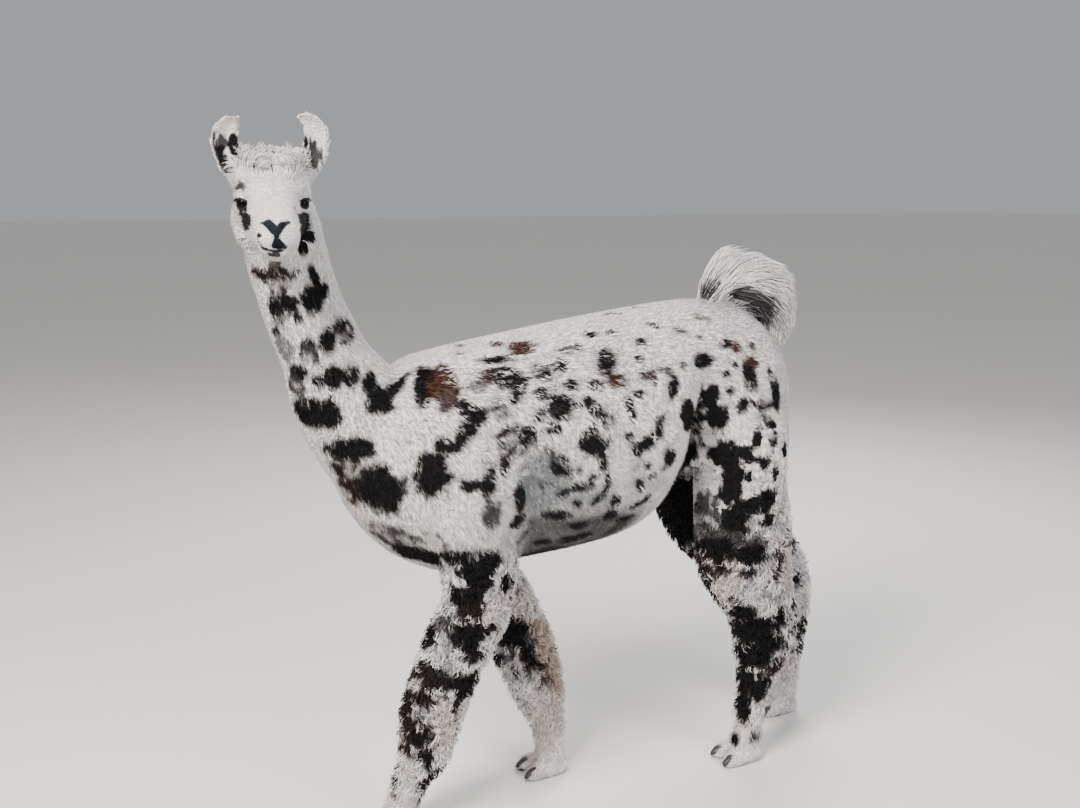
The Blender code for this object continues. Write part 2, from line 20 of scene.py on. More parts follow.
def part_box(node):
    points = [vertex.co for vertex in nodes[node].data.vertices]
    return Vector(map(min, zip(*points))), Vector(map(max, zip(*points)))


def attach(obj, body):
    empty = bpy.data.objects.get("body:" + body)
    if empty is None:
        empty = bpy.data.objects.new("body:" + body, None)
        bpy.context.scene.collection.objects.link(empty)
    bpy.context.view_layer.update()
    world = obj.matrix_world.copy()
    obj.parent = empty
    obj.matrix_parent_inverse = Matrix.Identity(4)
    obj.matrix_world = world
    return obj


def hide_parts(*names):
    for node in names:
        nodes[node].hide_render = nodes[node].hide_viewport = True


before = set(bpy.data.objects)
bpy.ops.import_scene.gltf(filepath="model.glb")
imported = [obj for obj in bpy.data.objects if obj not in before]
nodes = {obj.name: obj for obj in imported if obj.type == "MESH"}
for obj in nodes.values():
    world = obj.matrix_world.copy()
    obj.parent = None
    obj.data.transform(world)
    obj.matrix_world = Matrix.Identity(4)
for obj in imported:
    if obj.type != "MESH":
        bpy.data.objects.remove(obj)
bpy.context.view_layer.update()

# %% [markdown]
# ## The camera
# The visitor stands ahead of the llama on its left, a little over two metres away, and looks
# slightly down from eye height. The lens is a plain wide one, and a small shift of the frame keeps
# the ear tips and the feet both in view. The camera is made first, because everything else is
# judged through it.

# %% The camera
VISITOR_EYE = Vector((2.3725, -1.0937, 1.500))
LOOK_ALONG = Vector((-0.9198, 0.3925, 0.0)).normalized()
LOOK_DOWN = math.radians(7.5)

camera_data = bpy.data.cameras.new("visitor_camera")
camera_data.sensor_width = 36.0
camera_data.lens = 36.03
camera_data.shift_y = -0.0645
camera = bpy.data.objects.new("visitor_camera", camera_data)
bpy.context.scene.collection.objects.link(camera)
look = LOOK_ALONG * math.cos(LOOK_DOWN) - Vector((0, 0, math.sin(LOOK_DOWN)))
camera.matrix_world = Matrix.Translation(VISITOR_EYE) @ look.to_track_quat("-Z", "Y").to_matrix().to_4x4()
bpy.context.scene.camera = camera
print("camera at", tuple(round(v, 3) for v in VISITOR_EYE))

# %% [markdown]
# ## The head's own frame
# The head is turned and tipped, so it is easiest to work on in a frame of its own: the origin
# midway between the eyes, -Y towards the nose, +Z up through the poll and +X to the llama's left.
# The two eyeballs of the solid model give the origin and the side axis, and the nod of the head
# gives the rest.

# %% The head's own frame
HEAD_NOD = math.radians(15.0)


def middle(node):
    """The middle of a node's box."""
    low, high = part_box(node)
    return (low + high) / 2


eye_left, eye_right = middle("eye_left"), middle("eye_right")
side_axis = (eye_left - eye_right).normalized()
turned = Matrix((side_axis, Vector((0, 0, 1)).cross(side_axis), Vector((0, 0, 1)))).transposed().to_4x4()
head_place = Matrix.Translation((eye_left + eye_right) / 2) @ turned @ Matrix.Rotation(HEAD_NOD, 4, "X")
EYE_OUT = (eye_left - eye_right).length / 2
EYE_RADIUS = (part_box("eye_left")[1].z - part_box("eye_left")[0].z) / 2
HEAD_TURN = np.array(head_place.to_3x3())
HEAD_SPOT = np.array(head_place.translation)


def to_head(points):
    """World points in the head's frame."""
    return (points - HEAD_SPOT) @ HEAD_TURN


def from_head(points):
    """Points of the head's frame in the world."""
    return points @ HEAD_TURN.T + HEAD_SPOT


print("eyes", round(EYE_OUT * 2000), "mm apart, radius", round(EYE_RADIUS * 1000, 1), "mm")

# %% [markdown]
# ## Soft fields
# Coat length, wave, spots and folds all vary smoothly over the animal. A few small tools give
# them: a smooth step, a value noise on a lattice, which is the same on every run because it hashes
# whole numbers, the distance to a path, and a test of which points lie in a box.

# %% Soft fields


def smooth_step(low, high, value):
    """0 below low, 1 above high, and a smooth rise between. It falls when low is above high."""
    t = np.clip((value - low) / (high - low), 0.0, 1.0)
    return t * t * (3.0 - 2.0 * t)


def hashed(cells, seed):
    """A number from 0 to 1 for each whole-number cell."""
    c = cells.astype(np.int64) & 0xFFFFF
    h = (c[..., 0] * 374761393 + c[..., 1] * 668265263 + c[..., 2] * 1440662683 + seed * 97931) & 0xFFFFFFFF
    h = ((h ^ (h >> 13)) * 1274126177) & 0xFFFFFFFF
    return ((h ^ (h >> 16)) & 0xFFFF) / 65535.0


def noise(points, size, seed):
    """Value noise from -1 to 1, with cells of that size in metres."""
    p = points / size
    cell = np.floor(p)
    t = p - cell
    t = t * t * (3.0 - 2.0 * t)
    total = np.zeros(len(points))
    for corner in np.ndindex(2, 2, 2):
        share = np.prod(np.where(corner, t, 1.0 - t), axis=1)
        total += share * hashed(cell + np.array(corner), seed)
    return total * 2.0 - 1.0


def layered(points, size, seed):
    """Noise with two finer layers on top."""
    finer = 0.5 * noise(points, size / 2.1, seed + 1)
    finest = 0.25 * noise(points, size / 4.3, seed + 2)
    return noise(points, size, seed) + finer + finest


def unit(vectors):
    """The vectors at length 1."""
    return vectors / np.maximum(np.linalg.norm(vectors, axis=-1, keepdims=True), 1e-9)


def path_distance(points, path):
    """Distance to a path of straight runs, and how far along it the nearest place is, 0 to 1."""
    path = np.array(path, float)
    best = np.full(len(points), 1e9)
    along = np.zeros(len(points))
    for k, (a, b) in enumerate(zip(path, path[1:])):
        run = b - a
        t = np.clip((points - a) @ run / (run @ run), 0.0, 1.0)
        away = np.linalg.norm(points - (a + t[:, None] * run), axis=1)
        along = np.where(away < best, (k + t) / (len(path) - 1), along)
        best = np.minimum(best, away)
    return best, along


def in_box(points, low, high):
    """Where points lie inside a box."""
    return ((points > low) & (points < high)).all(axis=1)


print("noise at the origin:", round(float(noise(np.zeros((1, 3)), 0.1, 1)[0]), 4))

# %% [markdown]
# ## One skin
# The solid model is parted at the joints, and those cuts would show. A skin without seams is made
# by joining a copy of every piece of flesh, each swollen by a millimetre so that neighbours
# overlap, and remeshing the lot with small voxels. The eyeballs are joined in too, so that the lids
# grow from a closed form. The body is then thinned, because the coat hides it, and the head keeps
# its fine mesh.

# %% One skin
SKIN_VOXEL = 0.004
SWELL = 0.001
BODY_SHARE = 0.15
HEAD_BOX = ((-0.15, -0.22, -0.12), (0.15, 0.16, 0.25))
FLANK_BOX = ((-1.0, 0.18, 0.74), (1.0, 0.32, 1.06))
FLANK_SIDE = 0.09
bare = [n for n in nodes if n.startswith("eye_") or "_nail_" in n]
flesh = [n for n in nodes if n not in bare]


def merged_copy(node):
    """A bmesh of a node with its doubled vertices merged and its faces pointing out."""
    bm = bmesh.new()
    bm.from_mesh(nodes[node].data)
    bmesh.ops.remove_doubles(bm, verts=bm.verts, dist=1e-6)
    bmesh.ops.recalc_face_normals(bm, faces=bm.faces)
    return bm


def new_object(name, mesh):
    """An object of that mesh in the scene, at the origin."""
    made = bpy.data.objects.new(name, mesh)
    bpy.context.scene.collection.objects.link(made)
    return made


def bake(obj):
    """Replaces the object's mesh by what its modifiers make of it."""
    graph = bpy.context.evaluated_depsgraph_get()
    made = bpy.data.meshes.new_from_object(obj.evaluated_get(graph))
    obj.modifiers.clear()
    obj.data = made
    return obj


def read(items, key, kind=float, width=3):
    """One property of a mesh's items as rows of an array."""
    values = np.empty(len(items) * width, kind)
    items.foreach_get(key, values)
    return values.reshape(-1, width)


def places(mesh):
    """The places of a mesh's vertices."""
    return read(mesh.vertices, "co")


def relax(bm, verts, factor, rounds):
    """Smooths the vertices that many times."""
    for _ in range(rounds):
        bmesh.ops.smooth_vert(
            bm, verts=verts, factor=factor, use_axis_x=True, use_axis_y=True, use_axis_z=True
        )


whole = bmesh.new()
face_part = []
for node in flesh + ["eye_left", "eye_right"]:
    part = merged_copy(node)
    part.normal_update()
    for v in part.verts:
        v.co += v.normal * SWELL
    mesh = bpy.data.meshes.new(node)
    part.to_mesh(mesh)
    face_part += [node] * len(part.faces)
    whole.from_mesh(mesh)
    part.free()
part_tree = BVHTree.FromBMesh(whole)
joined = bpy.data.meshes.new("skin")
whole.to_mesh(joined)
whole.free()
skin = new_object("skin", joined)
fusing = skin.modifiers.new("Fuse", "REMESH")
fusing.mode = "VOXEL"
fusing.voxel_size = SKIN_VOXEL
softening = skin.modifiers.new("Soften", "SMOOTH")
softening.factor = 0.5
softening.iterations = 5
bake(skin)


def outer_shell(obj):
    """Deletes every loose shell but the largest."""
    bm = bmesh.new()
    bm.from_mesh(obj.data)
    left, shells = set(bm.verts), []
    while left:
        shell, edge = set(), [left.pop()]
        while edge:
            v = edge.pop()
            shell.add(v)
            near = [e.other_vert(v) for e in v.link_edges]
            fresh = [w for w in near if w in left]
            left.difference_update(fresh)
            edge += fresh
        shells.append(shell)
    shells.sort(key=len)
    for shell in shells[:-1]:
        bmesh.ops.delete(bm, geom=list(shell), context="VERTS")
    bm.to_mesh(obj.data)
    bm.free()
    return len(shells)


print("skin shells:", outer_shell(skin))
points = places(skin.data)
on_head = in_box(to_head(points), *HEAD_BOX)
in_flank = in_box(points, *FLANK_BOX) & (np.abs(points[:, 0]) > FLANK_SIDE)
coarse = skin.vertex_groups.new(name="coarse")
coarse.add(np.flatnonzero(~(on_head | in_flank)).tolist(), 1.0, "REPLACE")
thinning = skin.modifiers.new("Thin", "DECIMATE")
thinning.ratio = BODY_SHARE
thinning.vertex_group = "coarse"
thinning.vertex_group_factor = 1.0
thinning.use_collapse_triangulate = True
bake(skin)
skin.vertex_groups.clear()
print("skin:", len(skin.data.vertices), "vertices,", len(skin.data.polygons), "faces")

# %% [markdown]
# ## A finer mesh for the face
# Lids, nostrils and lips need edges of about a millimetre. Only the faces near them are divided:
# the whole face once, and the eyes and the muzzle once more. A few rounds of smoothing then round
# off the flat facets that the division leaves.

# %% A finer mesh for the face
FACE_BOX = ((-0.09, -0.22, -0.11), (0.09, 0.025, 0.05))
EYE_ZONE = 0.029
MUZZLE_ZONE = -0.130


def in_face(h):
    """The front of the head, from behind the eyes to the lips."""
    return in_box(h, *FACE_BOX)


def in_detail(h):
    """Round the eyes, and the muzzle."""
    beside = np.column_stack([np.abs(h[:, 0]) - EYE_OUT, h[:, 1], h[:, 2]])
    return (np.linalg.norm(beside, axis=1) < EYE_ZONE) | (in_face(h) & (h[:, 1] < MUZZLE_ZONE))


fine = bmesh.new()
fine.from_mesh(skin.data)
for zone, rounds in ((in_face, 4), (in_detail, 3)):
    fine.verts.ensure_lookup_table()
    inside = zone(to_head(np.array([v.co for v in fine.verts])))
    edges = [e for e in fine.edges if inside[e.verts[0].index] and inside[e.verts[1].index]]
    bmesh.ops.subdivide_edges(fine, edges=edges, cuts=1, use_grid_fill=True)
    bmesh.ops.triangulate(fine, faces=[f for f in fine.faces if len(f.verts) > 3])
    fine.verts.index_update()
    fine.verts.ensure_lookup_table()
    inside = zone(to_head(np.array([v.co for v in fine.verts])))
    relax(fine, [v for v, keep in zip(fine.verts, inside) if keep], 0.5, rounds)
fine.to_mesh(skin.data)
fine.free()
print("skin after the face is divided:", len(skin.data.polygons), "faces")

# %% [markdown]
# ## What grows where
# Each part of the animal has its own coat. A row gives how deep the skin lies under the tips, how
# long and how wide a lock is, how much it stands up beyond what that depth needs, in radians, how
# much it waves, and how many layers of locks cover a place. Every skin vertex takes the row of the
# solid piece nearest to it, and the values are then spread along the mesh, so that no border shows.
# The crown between the ears, the cheeks, the beard under the jaw and the ears' edges grow longer.

# %% What grows where
FIELDS = ("depth", "length", "width", "stand", "wave", "layers")
BEARD = (0.058, 0.005, -0.078)
SPREAD_ROUNDS = 14
COATS = {
    "trunk": (0.0028, 0.0120, 0.0034, 0.00, 0.05, 1.75),
    "neck": (0.0028, 0.0110, 0.0032, 0.00, 0.05, 1.90),
    "head": (0.0028, 0.0085, 0.0019, 0.00, 0.05, 2.10),
    "lower_jaw": (0.0026, 0.0080, 0.0017, 0.00, 0.03, 2.10),
    "ear": (0.0010, 0.0110, 0.0015, 0.05, 0.08, 2.20),
    "eye": (0.0000, 0.0045, 0.0010, 0.10, 0.00, 1.50),
    "tail": (0.0190, 0.1000, 0.0032, 0.00, 0.22, 8.00),
    "forearm": (0.0140, 0.0290, 0.0038, 0.25, 1.05, 1.52),
    "fore_cannon": (0.0150, 0.0300, 0.0038, 0.34, 1.25, 1.52),
    "thigh": (0.0090, 0.0240, 0.0036, 0.10, 0.70, 1.55),
    "gaskin": (0.0160, 0.0330, 0.0040, 0.34, 1.20, 1.52),
    "hind_cannon": (0.0140, 0.0300, 0.0038, 0.30, 1.15, 1.52),
    "fore_foot": (0.0030, 0.0150, 0.0026, 0.10, 0.12, 1.50),
    "hind_foot": (0.0030, 0.0150, 0.0026, 0.10, 0.12, 1.50),
}


def coat_of(node):
    """The row of COATS that a node's name starts with."""
    return max((key for key in COATS if node.startswith(key)), key=len)


class Surface:
    """The skin as arrays: points, triangles, edges, normals and which coat each point has."""

    def __init__(self, mesh):
        mesh.calc_loop_triangles()
        self.points = places(mesh)
        self.triangles = read(mesh.loop_triangles, "vertices", np.int64)
        self.edges = read(mesh.edges, "vertices", np.int64, 2)
        self.degree = np.bincount(self.edges.ravel(), minlength=len(self.points))
        nearest = [part_tree.find_nearest(Vector(p))[2] for p in self.points]
        self.coat = np.array([coat_of(face_part[face]) for face in nearest])
        self.update()

    def of(self, *names):
        """Where the skin has one of these coats."""
        return np.isin(self.coat, names)

    def update(self):
        """Works out the normals again."""
        a, b, c = (self.points[self.triangles[:, k]] for k in range(3))
        self.areas = np.cross(b - a, c - a)
        total = np.zeros_like(self.points)
        for k in range(3):
            for axis in range(3):
                total[:, axis] += np.bincount(self.triangles[:, k], self.areas[:, axis], len(self.points))
        self.normals = unit(total)

    def tree(self):
        """The skin as a tree that finds the nearest face or what a ray meets."""
        return BVHTree.FromPolygons(self.points.tolist(), self.triangles.tolist())

    def spread(self, values, rounds):
        """Values averaged with their neighbours' that many times."""
        values = np.array(values, float)
        columns = values.reshape(len(values), -1)
        one, two = self.edges[:, 0], self.edges[:, 1]
        for _ in range(rounds):
            for k in range(columns.shape[1]):
                total = np.bincount(one, columns[two, k], len(columns))
                total += np.bincount(two, columns[one, k], len(columns))
                columns[:, k] = 0.5 * columns[:, k] + 0.5 * total / self.degree
        return columns.reshape(values.shape)


surface = Surface(skin.data)
head_points = to_head(surface.points)
wool = {name: np.array([COATS[key][k] for key in surface.coat]) for k, name in enumerate(FIELDS)}
shorn = surface.of("forearm", "thigh") * smooth_step(0.68, 0.80, surface.points[:, 2])
for k, name in enumerate(FIELDS):
    wool[name] = wool[name] + shorn * (COATS["trunk"][k] - wool[name])
is_head = surface.of("head", "lower_jaw", "eye")
ahead, above = head_points[:, 1], head_points[:, 2]
crown = is_head * smooth_step(0.030, 0.075, above) * smooth_step(-0.050, 0.000, ahead)
cheek = is_head * smooth_step(-0.040, 0.050, ahead) * (1 - crown)
muzzle = is_head * smooth_step(-0.080, -0.150, ahead)
mirrored = np.column_stack([np.abs(head_points[:, 0]), head_points[:, 1:]])
from_beard = np.linalg.norm(mirrored - BEARD, axis=1)
beard = surface.of("head", "lower_jaw", "neck") * smooth_step(0.042, 0.014, from_beard)
beard *= np.where(head_points[:, 0] < 0, 1.0, 0.35)
fringe = surface.of("ear") * smooth_step(0.75, 0.35, np.abs(surface.normals @ HEAD_TURN[:, 1]))
fringe *= smooth_step(0.150, 0.120, above)
sides = smooth_step(0.015, 0.050, np.abs(head_points[:, 0]))
wool["length"] += crown * (0.016 + 0.030 * sides) + cheek * 0.006 - muzzle * 0.0045
wool["length"] += beard * 0.018 + fringe * 0.013
wool["depth"] += crown * 0.006 + cheek * 0.003 - muzzle * 0.0010
wool["width"] += crown * 0.0003 + cheek * 0.0004 - muzzle * 0.0006 + beard * 0.0010
wool["stand"] += crown * (0.50 + 0.45 * sides) + cheek * 0.10 + beard * 0.55 + fringe * 0.60
wool["wave"] += beard * 0.35 + crown * 0.10
wool["layers"] += crown * 2.8 + fringe * 0.8
wool["length"] *= 1 - 0.58 * surface.of("tail") * smooth_step(0.535, 0.600, surface.points[:, 1])
for name in FIELDS:
    wool[name] = surface.spread(wool[name], SPREAD_ROUNDS)
print("coats:", {str(key): int(count) for key, count in zip(*np.unique(surface.coat, return_counts=True))})

# %% [markdown]
# ## The skin under the coat
# The solid model reaches to the tips of the coat, so the skin is moved inwards by the coat's
# depth. A thin place, such as the tail's tip or an ear, would turn inside out, so a ray through
# each point finds how thick the body is there and limits the move to a third of it.

# %% The skin under the coat
THIN_LIMIT = 0.33
inner = surface.tree()
thickness = np.full(len(surface.points), 1.0)
for i, (point, normal) in enumerate(zip(surface.points, surface.normals)):
    start = Vector(point - normal * 0.0005)
    found = inner.ray_cast(start, Vector(-normal), 0.2)
    if found[0] is not None:
        thickness[i] = found[3]
inset = np.minimum(wool["depth"], thickness * THIN_LIMIT) * smooth_step(0.002, 0.030, surface.points[:, 2])
inset = surface.spread(inset, 6)
surface.points -= surface.normals * inset[:, None]
surface.points = np.where(is_head[:, None], surface.points, surface.spread(surface.points, 2))
surface.update()
shallow, deep = (round(float(value) * 1000, 1) for value in (inset.min(), inset.max()))
print("skin lies", shallow, "to", deep, "mm deep")

# %% [markdown]
# ## Folds of the body
# Two folds give the body its depth. One is the deep fold of the flank, where the belly's loose
# skin runs into the front of the thigh. The other is the step behind the upper arm, which overlaps
# the ribs and leaves a smooth hollow. Body places are given in centimetres from a plumb line that
# meets the floor about 9 mm ahead of the origin. A row of the flank's edges holds a height and a
# place along the body, and both folds are made on both sides.

# %% Folds of the body
CM = 0.01
PLUMB = np.array((0.0005, -0.0087, 0.0))
BELLY_EDGE = (
    (104.6, 27.2), (99.6, 24.9), (96.7, 23.2), (93.0, 22.9), (88.6, 21.8), (84.7, 20.6),
    (80.9, 19.4), (70.0, 16.0),
)
THIGH_EDGE = (
    (104.6, 27.5), (100.8, 28.2), (97.4, 29.3), (95.1, 29.8), (89.9, 30.6), (83.2, 30.4),
    (76.3, 29.8), (70.0, 30.5),
)
FLANK_DEEP = 0.060
ARM_EDGE = ((93, -19.6), (87, -20.2), (80, -19.0), (73, -17.4))
ARM_REACH, ARM_DEEP = 0.075, 0.013


def on_side(points, side):
    """Body points with the asked side turned to the left, measured from the plumb line."""
    return (points - PLUMB) * (side, 1, 1)


def edge_at(heights, edge):
    """Where an edge of (height, place) rows lies at each height, all in metres."""
    rows = np.array(edge[::-1]) * CM
    return np.interp(heights, rows[:, 0], rows[:, 1])


def across_flank(q):
    """0 at the belly's rear edge and 1 at the thigh's front edge, and the metres between them."""
    belly, thigh = edge_at(q[:, 2], BELLY_EDGE), edge_at(q[:, 2], THIGH_EDGE)
    return (q[:, 1] - belly) / np.maximum(thigh - belly, 0.004), thigh - belly


def fold_flank(points, side):
    """Sinks the flank's fold: a sharp edge at the belly and a softer one at the thigh."""
    q = on_side(points, side)
    share, gap = across_flank(q)
    deep = FLANK_DEEP * smooth_step(0.0, 0.09, gap)
    deep *= smooth_step(0.03, 0.22, share) * smooth_step(1.05, 0.62, share)
    deep *= smooth_step(0.70, 0.76, q[:, 2]) * smooth_step(1.05, 1.03, q[:, 2])
    deep *= smooth_step(0.05, 0.09, q[:, 0])
    return points + deep[:, None] * unit(np.array((-side * 0.97, -0.10, 0.0)))


def step_behind_arm(points, side):
    """Sinks the ribs behind the upper arm, with a sharp edge in front and a soft one behind."""
    q = on_side(points, side)
    back = q[:, 1] - edge_at(q[:, 2], ARM_EDGE)
    tall = smooth_step(0.70, 0.76, q[:, 2]) * smooth_step(0.97, 0.89, q[:, 2]) * (q[:, 0] > 0.06)
    deep = ARM_DEEP * smooth_step(-0.004, 0.012, back) * smooth_step(ARM_REACH, 0.012, back) * tall
    return points - deep[:, None] * (side, 0, 0)


for side in (1, -1):
    surface.points = step_behind_arm(fold_flank(surface.points, side), side)
surface.update()
print("folds sunk by up to", round(FLANK_DEEP * 1000), "mm")

# %% [markdown]
# ## Sculpting the face
# The solid model gives the skull's shape. What it leaves out is modelled here with soft strokes on
# the fine mesh: the slits of the nostrils, the split upper lip, the line of the mouth, the hollow
# before the eye, and the lids. A stroke either pushes the skin round a point, or cuts a groove
# along a short path. All are given in millimetres in the head's frame, for the left side, and are
# made on both sides. The nose lies 5 mm to the right of the line between the eyes.

# %% Sculpting the face
MM = 0.001
NOSE_SIDE = np.array((-5.0, 0.0, 0.0))
NOSTRIL = ((26, -158, 5), (20, -166, 8), (13, -176, 3), (6, -184, -8))
PHILTRUM = ((0, -188, -8), (0, -192, -20), (0, -192, -32))
MOUTH = (
    (0, -190, -40), (12, -189, -42), (26, -180, -45), (38, -160, -47), (43, -130, -46), (46, -104, -40),
)
STROKES = [
    ((24, -168, 14), (16, 18, 10), (1.5, 0, 2.5)),
    ((26, -160, -4), (12, 14, 9), (2.5, 0, 0)),
    ((22, -176, -26), (18, 20, 16), (2.0, -2.5, 0)),
    ((0, -186, -52), (24, 20, 12), (0, -2.0, -2.0)),
    ((50, -44, -12), (14, 22, 14), (-2.5, 0, 0)),
    ((46, -70, -30), (12, 34, 14), (1.5, 0, 0)),
    ((0, -100, 32), (16, 50, 16), (0, 0, 2.0)),
]


def mirrored(values, side):
    """The values with x turned to that side."""
    return np.array(values, float) * (side, 1, 1)


def push(points, centre, radii, move):
    """Moves the points within an ellipsoid, most at its middle."""
    inside = np.clip(1.0 - (((points - centre) / radii) ** 2).sum(axis=1), 0.0, None) ** 2
    return points + inside[:, None] * move


def groove(points, normals, path, width, depth):
    """Cuts a groove that is deepest in the middle of its path."""
    away, along = path_distance(points, path)
    fading = 0.35 + 0.65 * np.sin(np.pi * np.clip(along, 0.05, 0.95))
    deep = depth * np.exp(-((away / width) ** 2)) * fading
    return points - normals * deep[:, None]


surface.points[is_head] = surface.spread(surface.points, 10)[is_head]
surface.update()
h = to_head(surface.points[is_head]) / MM
n = surface.normals[is_head] @ HEAD_TURN
for side in (1, -1):
    for centre, radii, move in STROKES:
        if side == 1 or centre[0]:
            h = push(h, mirrored(centre, side), np.array(radii, float), mirrored(move, side))
    h = groove(h, n, mirrored(NOSTRIL, side) + NOSE_SIDE, 2.6, 5.0)
    h = groove(h, n, mirrored(MOUTH, side), 1.9, 2.6)
h = groove(h, n, PHILTRUM + NOSE_SIDE, 2.0, 3.5)
surface.points[is_head] = from_head(h * MM)

# %% [markdown]
# ## Lids
# A lid is a thin fold that slides over the eyeball, so its free edge lies on the ball. Seen from
# the eye's own frame, with -Y looking out, the opening is an almond. The skin outside it is set
# just off the ball and eases into the brow and the cheek, and the skin inside it is tucked behind
# the ball, where nothing shows.

# %% Lids
EYE_TURN = math.radians(46.0)
LID_WIDE, LID_UP, LID_DOWN = 0.0158, 0.0108, 0.0088
LID_TILT = math.radians(8.0)
LID_THICK = 0.0017
LID_REACH, LID_BACK = 0.036, 0.004
EASE_OUT = 0.012
CREASE_DEEP, CREASE_AT = 0.0011, 0.0042
TUCKED = 0.72


def eye_place(side):
    """The frame of an eye: the ball's centre, with -Y looking out of it."""
    spot = Matrix.Translation((side * EYE_OUT, 0, 0)) @ Matrix.Rotation(side * EYE_TURN, 4, "Z")
    return head_place @ spot @ Matrix.Rotation(side * LID_TILT, 4, "Y")


def lid_height(x, upper):
    """How high the opening is above, or below, the middle of the eye."""
    arch = np.clip(1.0 - (x / LID_WIDE) ** 2, 0.0, 1.0)
    return (LID_UP if upper else -LID_DOWN) * arch ** (0.62 if upper else 0.8)


def eye_frame(side):
    """The same frame as arrays: its turn and its middle."""
    place = eye_place(side)
    return np.array(place.to_3x3()), np.array(place.translation)


def past_opening(out, steep=1.0, sideways=1.2):
    """How far past the opening's edge each direction from the ball's middle lies, in metres."""
    x, z = out[:, 0] * EYE_RADIUS, out[:, 2] * EYE_RADIUS
    edge = np.where(z > 0, lid_height(x, True), -lid_height(x, False))
    return np.maximum((np.abs(z) - edge) * steep, (np.abs(x) - LID_WIDE) * sideways)


def sculpt_lids(side):
    """Sets the skin round one eye."""
    turn, spot = eye_frame(side)
    local = (surface.points - spot) @ turn
    reach = np.linalg.norm(local, axis=1)
    near = (reach < LID_REACH) & (local[:, 1] < LID_BACK)
    p, r = local[near], reach[near]
    out = unit(p)
    beyond = past_opening(out)
    lid = EYE_RADIUS + LID_THICK
    crease = CREASE_DEEP * np.exp(-(((beyond - CREASE_AT) / CREASE_DEEP) ** 2)) * (out[:, 2] > 0)
    target = lid + (np.maximum(r, lid) - lid) * smooth_step(0.001, EASE_OUT, beyond) - crease
    target = np.where(beyond < 0.0, EYE_RADIUS * TUCKED, target)
    front = smooth_step(LID_BACK, -LID_BACK, p[:, 1])
    surface.points[near] = (out * (r + (target - r) * front)[:, None]) @ turn.T + spot


for side in (1, -1):
    sculpt_lids(side)
surface.update()
print("face sculpted:", int(is_head.sum()), "vertices on the head")

# %% [markdown]
# ## Markings
# The llama is spotted like a Dalmatian dog: black and rust patches on white, each with a ragged
# edge, because white hairs lie over it. The spots of its left side, its neck and its legs are
# placed one by one. A row holds a place near the skin and half of the spot's length and height, in
# centimetres, then its tilt in degrees and its tone. Each is snapped to the skin and laid in the
# skin's own plane, a little larger than its row says, most of all on the back, because white hairs
# eat into its edge. The right side carries scattered spots of the same sizes. Both the skin and
# the coat ask the same function for their colour, so they always agree.

# %% Markings
SPOT_GROW, SPOT_EDGE, TOP_GROW = 1.10, 0.0026, 0.45


def linear(code):
    """An sRGB hex colour as linear red, green and blue."""
    parts = [int(code[k : k + 2], 16) / 255.0 for k in (1, 3, 5)]
    return np.array([c / 12.92 if c <= 0.04045 else ((c + 0.055) / 1.055) ** 2.4 for c in parts])


TONES = {
    "white": linear("#e9e5e2"),
    "black": linear("#0c0a0c"),
    "brown": linear("#241614"),
    "rust": linear("#44281f"),
    "grey": linear("#8b878c"),
    # painted shade for the hollow behind the upper arm and the lower barrel below it
    "hollow_shade": linear("#858a8b"),
    "blush": linear("#d3bdb6"),
    "beige": linear("#b9a596"),
    "smoke": linear("#464343"),
    "cream": linear("#d9cfc6"),
}
NECK_SPOTS = [
    (5.5, -70, 130, 2.0, 1.4, 0, "brown"), (5, -69, 126, 2.9, 2.2, 0, "black"),
    (6, -62, 132, 0.9, 2.4, 20, "black"), (6, -63, 127, 2.0, 2.9, 10, "black"),
    (5, -60, 129, 1.1, 1.5, 0, "black"), (4, -70, 122, 1.1, 1.0, 0, "smoke"),
    (6, -66, 123, 0.8, 0.8, 0, "black"), (2, -70, 120, 0.9, 0.9, 0, "black"),
    (3, -69, 116, 2.2, 2.9, 0, "grey"), (6, -64, 117, 1.3, 1.3, 0, "black"),
    (6, -64, 115, 1.8, 1.9, 0, "smoke"), (7, -60, 118, 1.5, 2.4, 0, "black"),
    (5, -56, 120, 2.4, 2.4, 40, "brown"), (4, -66, 111, 2.0, 1.9, 0, "black"),
    (6, -62, 109, 1.4, 1.4, 0, "black"), (7, -59, 110, 1.8, 2.3, 0, "black"),
    (7, -55, 110, 1.4, 2.0, 0, "black"), (7, -51, 108, 1.5, 2.2, -20, "black"),
    (6, -44, 107, 1.1, 2.6, -15, "black"), (2, -66, 108, 2.4, 2.0, 0, "smoke"),
    (5, -63, 102, 5.6, 3.2, -12, "black"), (8, -49, 104, 3.0, 2.4, 10, "black"),
    (8, -56, 94, 5.8, 2.4, 4, "black"), (7, -56, 89, 5.0, 2.2, 0, "brown"),
    (11, -50, 85, 5.2, 5.0, -8, "black"), (5, -56, 84, 3.2, 3.6, 0, "brown"),
    (8.5, -47, 73, 6.0, 3.4, -25, "smoke"), (9, -41, 67.5, 6.0, 3.0, -18, "black"),
    (17, -35, 69, 4.8, 1.7, 12, "black"),
]
